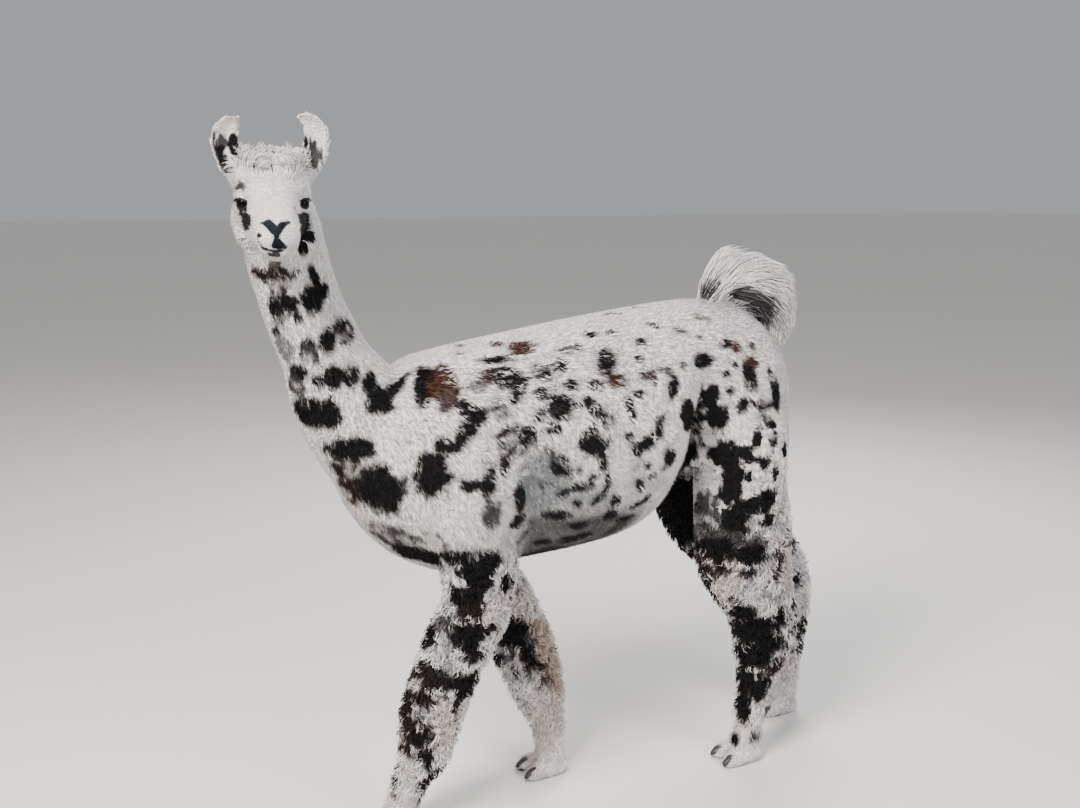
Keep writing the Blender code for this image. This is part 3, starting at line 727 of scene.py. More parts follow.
SHOULDER_SPOTS = [
    (9, -39, 107, 2.2, 4.0, 0, "black"), (11, -35, 107, 2.6, 4.2, 0, "rust"),
    (4, -20, 115, 1.6, 0.9, 0, "rust"), (8, -15, 115, 3.0, 1.6, 0, "rust"),
    (9, -22, 112, 3.2, 0.7, 0, "black"), (12, -24.5, 109, 2.2, 1.3, 0, "rust"),
    (13, -21, 108.3, 3.2, 1.8, -10, "black"), (13, -28, 107, 1.6, 1.0, 0, "smoke"),
    (13, -35, 104, 1.6, 1.8, 0, "smoke"), (15, -32, 103, 1.5, 1.3, 0, "black"),
    (17, -32, 98, 1.8, 4.2, -32, "black"), (17, -29, 101, 1.9, 1.6, 0, "black"),
    (16, -24, 102, 2.2, 1.8, 0, "brown"), (19, -22, 95, 3.2, 3.4, 0, "brown"),
    (19, -18, 96, 1.8, 2.0, 0, "black"), (17, -37, 95, 2.0, 1.3, 0, "black"),
    (17, -40, 89, 3.8, 4.6, 0, "black"), (15, -19, 105, 1.2, 2.6, -38, "black"),
    (19, -32, 86, 2.4, 1.3, 0, "black"), (19, -28, 86, 1.5, 3.0, -10, "black"),
    (19, -24, 89, 1.0, 1.4, 0, "black"), (19, -27, 79, 2.2, 2.9, 0, "smoke"),
    (18, -20, 82, 1.4, 3.2, 10, "black"), (17, -20, 76, 2.0, 1.5, 0, "black"),
]
BARREL_SPOTS = [
    (17, -14, 105, 1.3, 1.2, 0, "black"), (14, -13, 109, 2.0, 1.3, 0, "brown"),
    (19, -10, 102, 3.0, 2.1, -35, "black"), (20, -2, 101, 3.0, 1.2, -45, "black"),
    (16, 3, 111.5, 2.2, 2.3, 0, "black"), (19, 4, 107, 2.0, 1.2, 0, "rust"),
    (14.4, -8, 111, 1.6, 1.0, -25, "black"), (17.4, -7, 106.5, 1.5, 1.0, -30, "black"),
    (18, -15, 100, 0.9, 1.5, -35, "black"), (19, -12, 97, 1.6, 1.2, -20, "black"),
    (21.2, -4, 93.5, 2.0, 3.0, -15, "black"), (21.4, -0.5, 93, 1.5, 1.0, 25, "black"),
    (20.2, -11, 89, 2.1, 1.9, -30, "black"), (19.8, -13, 91.5, 2.0, 0.5, -50, "smoke"),
    (20.3, -9, 87, 1.1, 0.7, 0, "black"), (20.6, -6.5, 87.5, 0.9, 0.7, 0, "smoke"),
    (20, -9.5, 81.5, 1.8, 0.8, 25, "black"), (20.6, -5.5, 83, 2.4, 1.0, 5, "black"),
    (21.2, -3, 85, 0.9, 0.9, 0, "black"), (21.5, -0.7, 89, 1.0, 2.0, 8, "black"),
    (21.4, 0.6, 83.4, 0.8, 2.2, 0, "black"), (20, -1.3, 79.6, 2.2, 0.8, 38, "black"),
    (19.3, -6.2, 79, 1.0, 0.8, 0, "black"), (19.9, 3.3, 78.6, 1.3, 1.6, 0, "black"),
    (20.6, 9.4, 82, 0.8, 1.7, 25, "black"), (18.3, 10.7, 77.5, 2.8, 0.7, 33, "black"),
    (17, -10, 76, 3.4, 1.1, -5, "black"), (18, 2.9, 75.3, 1.8, 1.6, 0, "black"),
    (16.5, 8, 73.3, 2.2, 0.9, 10, "black"), (16.5, -4.5, 73, 2.0, 1.0, -10, "black"),
    (13.5, -4, 69, 4.0, 1.7, 8, "black"), (13, -12.5, 69, 2.0, 0.8, 0, "black"),
    (14, -12, 110, 0.9, 0.9, 0, "black"), (9, 2, 117, 1.2, 0.8, 0, "black"),
    (10, 7, 117, 1.1, 0.7, 0, "black"), (14, 13, 115, 1.0, 0.9, 0, "black"),
    (21.2, 6.5, 100.5, 0.9, 2.3, 15, "black"), (22, 6, 94, 0.8, 1.2, 10, "black"),
    (22, 8, 91, 1.3, 1.5, 0, "black"), (22, 10.5, 92.3, 1.4, 1.5, 0, "black"),
    (22, 11, 86.5, 0.8, 0.8, 0, "black"), (21, 12.5, 84, 1.0, 0.7, 30, "smoke"),
    (21.7, 14, 97.6, 1.1, 1.1, 0, "black"), (21.7, 13.6, 94.8, 1.0, 1.6, 10, "black"),
    (20.9, 17, 88, 1.4, 2.2, 15, "black"), (20.2, 15.5, 86, 1.0, 0.6, 30, "smoke"),
    (21, 22, 98, 1.9, 3.4, 8, "black"), (20, 18.2, 104.6, 1.2, 2.5, -18, "black"),
    (18.8, 16.7, 108.4, 2.0, 0.7, -15, "smoke"), (19.4, 13.5, 107, 0.9, 1.3, 0, "rust"),
    (21.3, 0.8, 98, 1.5, 1.4, 0, "brown"), (18.5, -1.4, 106.2, 1.6, 0.9, -30, "black"),
    (13, -27, 111, 1.5, 0.7, 0, "smoke"), (12, -6, 114, 1.4, 0.6, -20, "smoke"),
    (16, 11, 111, 1.0, 0.8, 0, "black"), (20.4, 9, 103.7, 1.3, 0.8, -20, "black"),
    (18.5, 11, 108, 0.8, 0.7, 0, "smoke"), (10.1, 18.2, 118.4, 1.6, 0.5, -35, "smoke"),
    (11.4, -3, 114.6, 1.3, 0.6, -15, "smoke"), (15, -12, 108.7, 1.0, 0.7, -20, "black"),
    (19.5, 22, 110, 0.9, 0.6, 0, "smoke"),
]
HAUNCH_SPOTS = [
    (17, 28, 110, 3.2, 1.3, 6, "black"), (14, 36, 113, 1.5, 0.9, 0, "black"),
    (14, 39, 112, 1.6, 0.9, -10, "rust"), (15, 43, 108, 2.6, 1.1, 0, "rust"),
    (17, 42, 104, 1.8, 2.4, 0, "black"), (17, 36, 102, 1.2, 0.8, 0, "black"),
    (17, 35, 106, 0.9, 0.7, 0, "black"), (17, 30.5, 101, 2.2, 2.8, 0, "black"),
    (16.5, 32.5, 95.5, 2.6, 2.9, -10, "black"), (18, 45, 98, 2.8, 1.1, 0, "brown"),
    (17, 50, 100, 1.8, 3.2, -20, "black"), (17.5, 34, 86, 4.4, 3.0, 0, "black"),
    (20, 42, 90, 1.3, 1.0, 0, "black"), (20, 47, 89, 1.2, 2.3, -10, "brown"),
    (18.8, 35.7, 79.5, 2.1, 3.6, 10, "black"), (20, 45, 74, 3.4, 2.8, 25, "black"),
    (18, 45, 94, 1.1, 1.3, 0, "brown"), (17, 51, 86, 0.9, 1.5, 0, "black"),
    (20, 44, 84, 1.5, 1.2, 0, "black"), (9, 32, 118, 2.0, 0.6, -30, "smoke"),
    (12, 24, 116, 1.4, 0.6, -30, "smoke"), (18, 40, 99, 1.8, 1.0, -10, "black"),
    (19.8, 38.5, 86.5, 1.6, 1.6, 30, "black"), (20, 42, 84.5, 2.4, 0.7, -10, "black"),
    (20, 40, 80.5, 1.2, 0.8, -30, "black"), (14, 48, 105, 1.0, 0.9, 0, "black"),
    (16, 38, 108, 0.8, 0.6, 0, "black"), (16, 41.5, 106, 1.5, 1.6, 0, "black"),
    (18.3, 38.5, 97.5, 1.5, 0.9, -15, "black"), (16.5, 49, 101.5, 1.0, 2.0, 10, "black"),
    (19.4, 36, 81, 2.4, 2.4, 0, "black"), (18.7, 35.3, 76.5, 2.6, 2.2, 0, "black"),
    (19.8, 40, 73, 3.8, 1.7, 12, "black"), (18.4, 36, 70.5, 3.6, 1.6, -10, "black"),
    (20.2, 40, 87.5, 1.0, 0.8, 0, "black"), (19.5, 46, 68.5, 2.2, 1.0, 20, "black"),
    (18.7, 38, 66.5, 3.0, 1.5, 0, "black"), (20, 47.5, 81, 0.8, 1.6, 0, "brown"),
    (19.6, 47, 93, 1.0, 0.8, 0, "black"), (20.3, 43, 93, 0.8, 0.7, 0, "brown"),
    (12, 44, 111.5, 0.9, 0.6, 0, "smoke"),
]
LEG_SPOTS = [
    (18.9, -27.5, 67.5, 2.6, 2.8, 30, "black"), (18.5, -30.2, 64, 3.0, 4.2, 30, "black"),
    (16.3, -33.2, 59, 2.6, 2.6, 30, "black"), (16.5, -22.5, 61, 1.5, 2.4, 0, "black"),
    (7, -40, 48, 3.4, 2.0, 35, "black"), (12.5, -37, 53, 3.0, 1.7, 35, "smoke"),
    (15.3, -31, 49, 3.6, 2.8, 0, "black"), (14.1, -30.4, 44.5, 2.2, 3.0, 0, "black"),
    (11.2, -40.8, 41.3, 2.6, 1.3, 0, "black"), (13.1, -34.2, 37.7, 4.8, 2.0, 0, "black"),
    (11.4, -30.8, 35, 1.8, 2.6, 0, "black"), (11.5, -41, 36, 4.6, 4.6, 0, "brown"),
    (10.6, -42.5, 29, 4.4, 4.4, 0, "brown"), (9.8, -43, 22, 3.8, 3.4, 0, "brown"),
    (10.2, -42, 24, 1.8, 1.2, 20, "black"), (9.7, -40, 17.5, 1.2, 3.4, 20, "black"),
    (10.9, -35.5, 26, 2.2, 6.0, 10, "cream"), (-4.4, 0.0, 28, 4.2, 14.0, 12, "cream"),
    (-4.4, -2.0, 31, 2.6, 9.0, 12, "beige"), (-4.9, -13.0, 39.0, 4.2, 4.2, 0, "black"),
    (-4.2, -9.5, 34.0, 3.6, 3.2, -30, "smoke"), (-4.0, -8.5, 30, 3.4, 5.0, 35, "brown"),
    (-3.8, -5.5, 26, 2.4, 3.4, 35, "smoke"), (-3.8, -8.0, 33, 1.0, 4.4, 35, "black"),
    (-6, -8, 46, 5.0, 2.8, 0, "cream"), (-3.4, -4.5, 14, 4.0, 7.0, 0, "cream"),
    (17, 34.5, 63, 4.4, 3.6, 0, "smoke"), (13.5, 30, 70, 3.0, 6.0, 0, "smoke"),
    (17, 38, 69, 3.0, 1.6, 20, "black"), (18.3, 43.7, 59.5, 3.6, 2.8, 0, "black"),
    (15.7, 38, 50, 2.6, 3.6, -20, "cream"), (13.8, 43.1, 42, 3.6, 2.6, 0, "black"),
    (13.9, 46.5, 36.5, 4.6, 4.0, 0, "black"), (14, 51, 31.5, 3.0, 3.4, 0, "black"),
    (14.8, 54.8, 39, 1.6, 3.2, 0, "black"), (12.5, 46, 29, 2.8, 2.8, 0, "black"),
    (12.1, 48.5, 21, 2.8, 3.4, 20, "black"), (10.4, 46, 22, 1.8, 4.0, 10, "black"),
    (10.2, 45.7, 14.5, 1.6, 3.2, 0, "black"), (13.2, 50, 28, 2.4, 2.2, 0, "black"),
    (12.6, 51.5, 25, 1.6, 1.4, 0, "brown"), (16.5, 33.5, 61, 3.6, 3.2, 0, "black"),
    (15.5, 34, 55, 3.0, 2.0, 0, "brown"), (9.1, 44.2, 6, 1.2, 1.6, 0, "black"),
    (16.6, 52.6, 56, 1.3, 5.2, 0, "brown"), (14, 57, 52, 1.6, 6.0, 0, "blush"),
    (-7.1, 76, 40, 1.6, 3.2, 0, "brown"), (-9, 66, 52, 3.0, 9.0, 0, "black"),
    (-9, 37, 66, 7.0, 8.0, 0, "black"), (-10.6, 35.5, 61, 6.0, 5.0, 0, "black"),
    (-11.5, 37.5, 55, 4.4, 4.0, 0, "black"), (-8, 40, 60, 4.0, 6.0, 0, "black"),
]
ALL_SPOTS = NECK_SPOTS + SHOULDER_SPOTS + BARREL_SPOTS + HAUNCH_SPOTS + LEG_SPOTS
RIGHT_SPOTS, RIGHT_SIDE, RIGHT_LOW = 150, -0.045, 0.55


def shaded_spots():
    """Every spot as a centre, a normal, two half sizes, a tilt and a tone."""
    tree = surface.tree()
    rows = []
    for x, y, z, long, high, tilt, tone in ALL_SPOTS:
        place, normal = tree.find_nearest(Vector((x, y, z)) * CM + Vector(PLUMB))[:2]
        wide, tall = (half * CM * SPOT_GROW + SPOT_EDGE for half in (long, high))
        tall *= 1.0 + TOP_GROW * max(0.0, normal.z)
        rows.append((place, normal, wide, tall, math.radians(tilt), tone))
    rng = np.random.default_rng(11)
    right = surface.of("trunk", "neck", "thigh", "forearm") & (surface.points[:, 0] < RIGHT_SIDE)
    right = np.flatnonzero(right & (surface.points[:, 2] > RIGHT_LOW))
    for i in rng.choice(right, RIGHT_SPOTS, replace=False):
        size = 0.007 + 0.034 * rng.random() ** 2.4
        tone = "rust" if rng.random() < 0.10 else "black"
        tilt = rng.uniform(-0.7, 0.7)
        stretch = rng.uniform(1.0, 1.6)
        place, normal = Vector(surface.points[i]), Vector(surface.normals[i])
        rows.append((place, normal, size * stretch, size, tilt, tone))
    return rows


spots = shaded_spots()


def blend(base, tone, share):
    """The base colours with a share of the tone laid over."""
    return base + (TONES[tone] - base) * share[:, None]


def spot_cover(points, spot, ragged):
    """How far each point lies inside one spot: 1 inside, 0 outside."""
    place, normal, long, high, tilt, _ = spot
    up = Vector((0, 0, 1)) - normal * normal.z
    if up.length <= 0.3:
        up = Vector((0, 1, 0)) - normal * normal.y
    up = up.normalized()
    along = up.cross(normal)
    across = along * math.cos(tilt) + up * math.sin(tilt)
    over = up * math.cos(tilt) - along * math.sin(tilt)
    parts = ((across, long), (over, high), (normal, 0.05 + long))
    squares = [((points - np.array(place)) @ np.array(way) / size) ** 2 for way, size in parts]
    return smooth_step(1.10, 0.90, np.sqrt(sum(squares)) + ragged)


print("spots placed:", len(spots))

# %% [markdown]
# ## The face's own markings
# The face is drawn with short thick strokes: the blue-black skin of the nostrils and lips, a dark
# rim round each eye, a long black patch under the left eye and a streak under the right one. Paths
# are in millimetres in the head's frame. The ears are dark inside and white at the tips, and the
# wool of the legs is mottled by noise, with more dark hair from the hock and the knee down.

# %% The face's own markings
TONES["slate"] = linear("#1c232c")
TONES["taupe"] = linear("#6c635d")
FACE_MARKS = [
    ("black", 12.0, ((46, -80, -9), (56, -40, -20), (71, 12, -36))),
    ("black", 13.0, ((51, -60, -31), (58, -30, -42), (71, 8, -52))),
    ("black", 12.5, ((54, -40, -44), (58, -24, -58), (66, 2, -62))),
    ("black", 11.5, ((57, -16, -67), (62, -4, -71), (78, 8, -75))),
    ("black", 11.0, ((57, -18, -78), (57, -10, -91), (60, -11, -104))),
    ("black", 10.0, ((55, -22, -70), (56, -18, -86), (57, -14, -98))),
    ("black", 4.0, ((72, 6, 8), (80, 20, -2))),
    ("white", 6.5, ((43, -74, 6), (51, -43, -3), (66, -11, -10))),
    ("black", 3.0, ((39, -84, 21), (37, -92, 13), (38, -98, 6), (46, -82, -4))),
    ("black", 5.0, ((-66, -4, 6), (-76, 14, 5))),
    ("black", 6.0, ((-60, -30, -8), (-57, -38, -14))),
    ("black", 12.0, ((-61, -24, -22), (-55, -46, -22), (-50, -66, -18))),
    ("black", 12.0, ((-60, -26, -36), (-54, -48, -33))),
    ("black", 4.5, ((-66, -6, -20), (-72, 14, -30))),
    ("black", 7.0, ((-58, -32, -40), (-61, -16, -49))),
    ("black", 9.0, ((-68, -4, -4), (-66, -10, -24), (-62, -16, -42))),
    ("smoke", 9.0, ((-62, -8, 37), (-69, 14, 36), (-76, 24, 24))),
    ("smoke", 2.0, ((-36, -47, 41), (-35, -49, 41))),
    ("taupe", 10.0, ((-10, -17, -129), (3, -21, -127))),
    ("brown", 14.0, ((-42, 6, -155), (-31, -7, -155), (-15, -17, -152), (0, -22, -150), (13, -25, -147))),
    ("brown", 8.0, ((-28, -9, -162), (-19, -15, -168))),
    ("smoke", 8.5, ((36, -27, -152), (46, -24, -144))),
    ("slate", 3.6, ((-34, -153, 3), (-27, -160, 6))),
    ("slate", 8.6, ((-20, -165, 6), (-14, -172, 2), (-6, -183, -4))),
    ("slate", 3.8, ((21, -164, 7), (13, -168, 7))),
    ("slate", 5.6, ((14, -168, 6), (7, -173, 5))),
    ("slate", 7.6, ((9, -171, 4), (3, -179, 0), (-3, -185, -7))),
    ("slate", 4.8, ((-5, -186, -8), (-4, -188, -20))),
    ("slate", 6.4, ((-4, -188, -23), (-9, -189, -33))),
    ("slate", 5.6, ((-2, -188, -23), (8, -189, -34))),
    ("black", 4.6, ((-4, -189, -35), (2, -189, -36))),
    ("slate", 3.2, ((-40, -167, -18), (-39, -170, -28), (-33, -177, -38))),
    ("slate", 4.0, ((-33, -177, -39), (-20, -187, -42), (-5, -190, -43), (5, -190, -42), (13, -189, -35))),
    ("slate", 4.6, ((-39, -168, -16), (-34, -175, -16))),
    ("grey", 3.2, ((-23, -183, -21), (-20, -185, -26))),
    # A painted shadow under the lower lip.
    ("smoke", 6.0, ((-18, -183, -53), (-3, -187, -51))),
]
NOSTRIL_DARK = 3.4
EYE_RIM, RIM_REACH = 0.0056, 0.034
EAR_MARKS = [
    ("smoke", 13.0, ((-98, 0, 104), (-103, 0, 80), (-97, 0, 56))),
    ("black", 9.0, ((-101, 0, 88), (-97, 0, 58))),
    ("black", 10.0, ((-76, 0, 108), (-74, 0, 84), (-73, 0, 58))),
    ("black", 7.0, ((-92, 0, 48), (-80, 0, 30), (-74, 0, 20))),
    ("smoke", 13.0, ((-92, 0, 44), (-82, 0, 26))),
    ("smoke", 6.0, ((-112, 0, 122), (-114, 0, 108))),
    ("grey", 17.0, ((94, 0, 88), (92, 0, 56))),
    ("smoke", 13.0, ((90, 0, 96), (94, 0, 76), (92, 0, 54))),
    ("black", 9.0, ((66, 0, 130), (72, 0, 114), (78, 0, 100))),
    ("smoke", 5.0, ((68, 0, 92), (70, 0, 76))),
]
TAIL_DARK = [
    (4.4, ((2, 37, 125.5), (3, 37.5, 121))),
    (3.2, ((5, 37, 121), (9, 40, 118))),
    (1.2, ((4.5, 42, 124.5), (5, 47, 123))),
    (3.0, ((4, 47, 120), (1, 54, 117))),
    (1.6, ((6, 52, 123), (5, 53, 120))),
]
LEG_COATS = ("forearm", "fore_cannon", "thigh", "gaskin", "hind_cannon", "fore_foot", "hind_foot")
THROAT_LOW = -0.185


def stroke(colours, h, tone, radius, path, ragged):
    """Lays a thick stroke of one tone over the face."""
    away = path_distance(h, path)[0]
    return blend(colours, tone, smooth_step(1.07, 0.93, away / radius + ragged))


def eye_rim(points, side):
    """1 on the dark skin round an eye, 0 elsewhere. It is widest below the right eye."""
    turn, spot = eye_frame(side)
    local = (points - spot) @ turn
    out = unit(local)
    steep = np.where(out[:, 2] > 0, 2.6, 4.0 if side == 1 else 1.5)
    beyond = past_opening(out, steep, 0.60)
    near = (np.linalg.norm(local, axis=1) < RIM_REACH) & (local[:, 1] < 0.010)
    return smooth_step(EYE_RIM + 0.001, EYE_RIM - 0.001, beyond) * near


def face_colours(colours, points, ragged):
    """The markings of the head."""
    h = to_head(points) / MM
    for tone, radius, path in FACE_MARKS:
        colours = stroke(colours, h, tone, radius, path, ragged)
    for side in (1, -1):
        slit = mirrored(NOSTRIL, side) + NOSE_SIDE
        colours = stroke(colours, h, "slate", NOSTRIL_DARK, slit, ragged * 0.5)
        colours = blend(colours, "black", eye_rim(points, side))
    return colours


def ear_colours(colours, points, normals, ragged):
    """The dark streaks in the hollow of each ear."""
    h = to_head(points) / MM
    facing = smooth_step(0.0, 0.35, -(normals @ HEAD_TURN)[:, 1])
    flat = h * (1, 0, 1)
    streak = ragged + 0.60 * noise(points * (1, 1, 0.25), 0.005, 31)
    for tone, radius, path in EAR_MARKS:
        away = path_distance(flat, path)[0]
        colours = blend(colours, tone, smooth_step(1.2, 0.7, away / radius + streak) * facing)
    return colours


def leg_colours(colours, points, ragged):
    """Mottled wool: white, cream, black and brown in curls of a few centimetres."""
    low = smooth_step(0.80, 0.60, points[:, 2])
    patch = layered(points * (1, 1, 0.8), 0.050, 41) + ragged
    brown = noise(points, 0.07, 47)
    foot = smooth_step(0.17, 0.10, points[:, 2])
    limit = 0.30 - 0.14 * smooth_step(0.48, 0.32, points[:, 2]) + 0.40 * foot
    share = smooth_step(0.0, 0.12, patch - limit) * low
    dark = np.where((brown > 0.10)[:, None], TONES["brown"], TONES["black"])
    colours = colours + (dark - colours) * share[:, None]
    curl = layered(points, 0.030, 53) + 2.0 * ragged
    colours = blend(colours, "blush", smooth_step(0.10, 0.55, curl) * low * (1 - share) * 0.5)
    return blend(colours, "grey", smooth_step(0.25, 0.75, -curl) * low * (1 - share) * (1 - foot) * 0.75)


def fold_wool_and_shade(colours, points, ragged):
    """Black in the depth of the flank's fold and in the groin: partly black wool, partly painted shade."""
    for side in (1, -1):
        q = on_side(points, side)
        share, gap = across_flank(q)
        rough = ragged * 0.008 / np.maximum(gap, 0.02)
        dark = smooth_step(0.0, 0.10, share + rough) * (q[:, 0] > 0)
        dark *= smooth_step(1.08, 0.88, share + ragged * 0.95)
        dark *= smooth_step(1.052, 1.040, q[:, 2]) * smooth_step(0.60, 0.66, q[:, 2])
        # The black is partly dark wool in the groin and partly painted shade in the depth of the fold.
        colours = blend(colours, "black", dark)
    return colours


def trunk_colours(colours, points, ragged):
    """Grey and cream clouds, a dark belly, painted shade behind the arm, and flecks; the grey low down and
    the dark belly are partly painted shade.
    """
    low = smooth_step(1.02, 0.80, points[:, 2])
    cloud = layered(points * (1, 1, 1.3), 0.075, 97)
    # The grey clouds are partly the coat's own tone and partly painted shade, which grows heavier low on
    # the barrel.
    colours = blend(colours, "grey", smooth_step(0.05, 0.75, cloud) * (0.16 + 0.26 * low))
    colours = blend(colours, "cream", smooth_step(0.10, 0.80, -cloud) * 0.45)
    # The underside of the belly is darkened with smoke and black: partly dark wool, partly painted shade
    # under the body.
    belly = smooth_step(0.785, 0.735, points[:, 2] + 0.018 * cloud)
    belly *= smooth_step(-0.22, -0.16, points[:, 1]) * smooth_step(0.17, 0.03, points[:, 1])
    colours = blend(colours, "smoke", belly * np.clip(0.95 + 0.12 * cloud, 0, 1))
    colours = blend(colours, "black", belly * smooth_step(0.02, 0.30, cloud) * 0.80)
    # Painted shade, in a cool grey, in the hollow behind the upper arm and on the lower barrel below it.
    hollow = np.hypot((points[:, 1] + 0.150) / 0.070, (points[:, 2] - 0.845) / 0.105) + 0.16 * cloud
    below = np.hypot((points[:, 1] + 0.075) / 0.120, (points[:, 2] - 0.785) / 0.060) + 0.20 * cloud
    hollow_shade = np.maximum(smooth_step(1.15, 0.55, hollow), 0.75 * smooth_step(1.20, 0.50, below))
    colours = blend(colours, "hollow_shade", hollow_shade * (np.abs(points[:, 0]) > 0.10) * (1 - belly) * 0.95)
    fleck = noise(points * (1, 0.8, 1.3), 0.015, 91) + 0.45 * noise(points, 0.060, 93) + 0.5 * ragged
    return blend(colours, "smoke", smooth_step(0.74, 0.92, fleck) * 0.85)


def tail_colours(colours, points, normals, ragged):
    """Pale grey over the arch, streaked, with black streaks at the root and painted shade underneath."""
    strand = ragged * 1.4 + 0.5 * noise(points * (1, 0.35, 0.35), 0.012, 61)
    colours = blend(colours, "grey", 0.10 + 0.60 * smooth_step(0.10, 0.60, strand))
    # Painted shade: the tail's hair is darkened where it faces down, under the arch.
    dark = smooth_step(-0.05, -0.50, normals[:, 2] + ragged * 0.8)
    dark *= smooth_step(0.585, 0.540, points[:, 1])
    for radius, path in TAIL_DARK:
        away = path_distance(points - PLUMB, np.array(path) * CM)[0] / CM
        dark = np.maximum(dark, smooth_step(1.25, 0.75, away / radius + 0.9 * strand))
    return blend(colours, "black", dark * 0.94)


def markings(points, normals, coats, jitter=None):
    """The colour of the skin or coat at each point, with jitter from -1 to 1 for single locks."""
    jitter = np.zeros(len(points)) if jitter is None else jitter
    ragged = 0.22 * noise(points, 0.016, 3) + 0.10 * noise(points, 0.006, 5) + 0.10 * jitter
    tint = 1.0 + 0.045 * layered(points, 0.09, 71)
    colours = TONES["white"] * tint[:, None]
    tail, ear, leg = coats == "tail", coats == "ear", np.isin(coats, LEG_COATS)
    face = np.isin(coats, ("head", "lower_jaw", "eye"))
    if leg.any():
        colours[leg] = leg_colours(colours[leg], points[leg], ragged[leg] * 0.8)
    flank = (coats == "trunk") | leg & (points[:, 2] > 0.74)
    colours[flank] = trunk_colours(colours[flank], points[flank], ragged[flank])
    body = ~(tail | ear | face)
    throat = (coats == "neck") & (to_head(points)[:, 2] > THROAT_LOW)
    for spot in spots:
        reach = max(spot[2], spot[3]) * 1.6
        near = body & (np.linalg.norm(points - np.array(spot[0]), axis=1) < reach)
        cover = spot_cover(points[near], spot, ragged[near] * 0.9)
        if spot[5] in ("smoke", "brown"):
            least = np.where(leg[near] & (points[near][:, 2] < 0.62), 0.10, 0.50)
            clump = smooth_step(-0.35, 0.05, noise(points[near], 0.015, 19) + ragged[near])
            cover *= least + (1 - least) * clump
        colours[near] = blend(colours[near], spot[5], cover)
    trunk = np.isin(coats, ("trunk", "thigh", "gaskin"))
    # Black in the flank's fold: partly dark wool, partly painted shade.
    colours[trunk] = fold_wool_and_shade(colours[trunk], points[trunk], ragged[trunk])
    face |= throat
    colours[face] = face_colours(colours[face], points[face], ragged[face] * 0.7)
    colours[ear] = ear_colours(colours[ear], points[ear], normals[ear], ragged[ear])
    colours[tail] = tail_colours(colours[tail], points[tail], normals[tail], ragged[tail])
    return np.clip(colours, 0.0, 1.0)


skin_colours = markings(surface.points, surface.normals, surface.coat)
print("share of dark skin:", round(float((skin_colours.mean(axis=1) < 0.2).mean()), 2))

# %% [markdown]
# ## Materials
# The skin and the wool share one base colour, which comes from the markings. Wool is keratin: its
# IOR is about 1.55, and it looks matt, because millions of scaly fibres scatter the light, with a
# faint sheen at grazing angles. Hair seen from afar is never one flat tone, so each lock is a
# little lighter or darker than the next. Each lock also lightens towards its tip, so it is darker
# at its root: painted shade where the locks cover one another. A fine noise of about the width of
# a few fibres breaks the surface up. The strands of one lock are drawn about four times as coarse
# as real ones, which are too fine to show.

# %% Materials


def add(tree, kind, settings=None, **links):
    """Adds a node. Settings are its properties, and links feed its inputs by name or by index."""
    made = tree.nodes.new(kind)
    for key, value in (settings or {}).items():
        setattr(made, key, value)
    for key, value in links.items():
        by_index = key[0] == "i" and key[1:].isdigit()
        socket = made.inputs[int(key[1:]) if by_index else key.replace("_", " ")]
        if isinstance(value, bpy.types.NodeSocket):
            tree.links.new(value, socket)
        else:
            socket.default_value = value
    return made


def new_material(name, **values):
    """A material of one Principled BSDF, with some of its plain values set by name."""
    made = bpy.data.materials.new(name)
    made.use_nodes = True
    shader = made.node_tree.nodes["Principled BSDF"]
    for key, value in values.items():
        shader.inputs[key.replace("_", " ")].default_value = value
    return made, made.node_tree, shader


def solid(code):
    """A hex code as a colour with its alpha."""
    return (*linear(code), 1.0)


def two_tones(tree, share, one, other):
    """A mix of two colours by share. Each is a hex code or another node's output."""
    ends = [solid(tone) if isinstance(tone, str) else tone for tone in (one, other)]
    mixed = add(tree, "ShaderNodeMix", {"data_type": "RGBA"}, i0=share, i6=ends[0], i7=ends[1])
    return mixed.outputs[2]


def attribute(tree, name):
    """The node that reads an attribute of the mesh."""
    return add(tree, "ShaderNodeAttribute", {"attribute_name": name})


def grain(tree, place, scale, detail, roughness=0.5):
    """A noise at a place, from 0 to 1."""
    made = add(tree, "ShaderNodeTexNoise", Vector=place, Scale=scale, Detail=detail, Roughness=roughness)
    return made.outputs["Fac"]


def remap(tree, value, low, high, start=0.0, end=1.0):
    """A value that runs from start to end, turned into one that runs from low to high."""
    ends = {"From_Min": start, "From_Max": end, "To_Min": low, "To_Max": high}
    return add(tree, "ShaderNodeMapRange", Value=value, **ends).outputs["Result"]


def times(tree, one, other):
    """The product of two values."""
    return add(tree, "ShaderNodeMath", {"operation": "MULTIPLY"}, i0=one, i1=other).outputs[0]


def finish_look(tree, shader, colour, level, height, strength, distance):
    """Links a shader's colour, darkened by level, and its bump."""
    shaded = add(tree, "ShaderNodeVectorMath", {"operation": "SCALE"}, i0=colour, Scale=level)
    tree.links.new(shaded.outputs["Vector"], shader.inputs["Base Color"])
    relief = add(tree, "ShaderNodeBump", Height=height, Strength=strength, Distance=distance)
    tree.links.new(relief.outputs["Normal"], shader.inputs["Normal"])


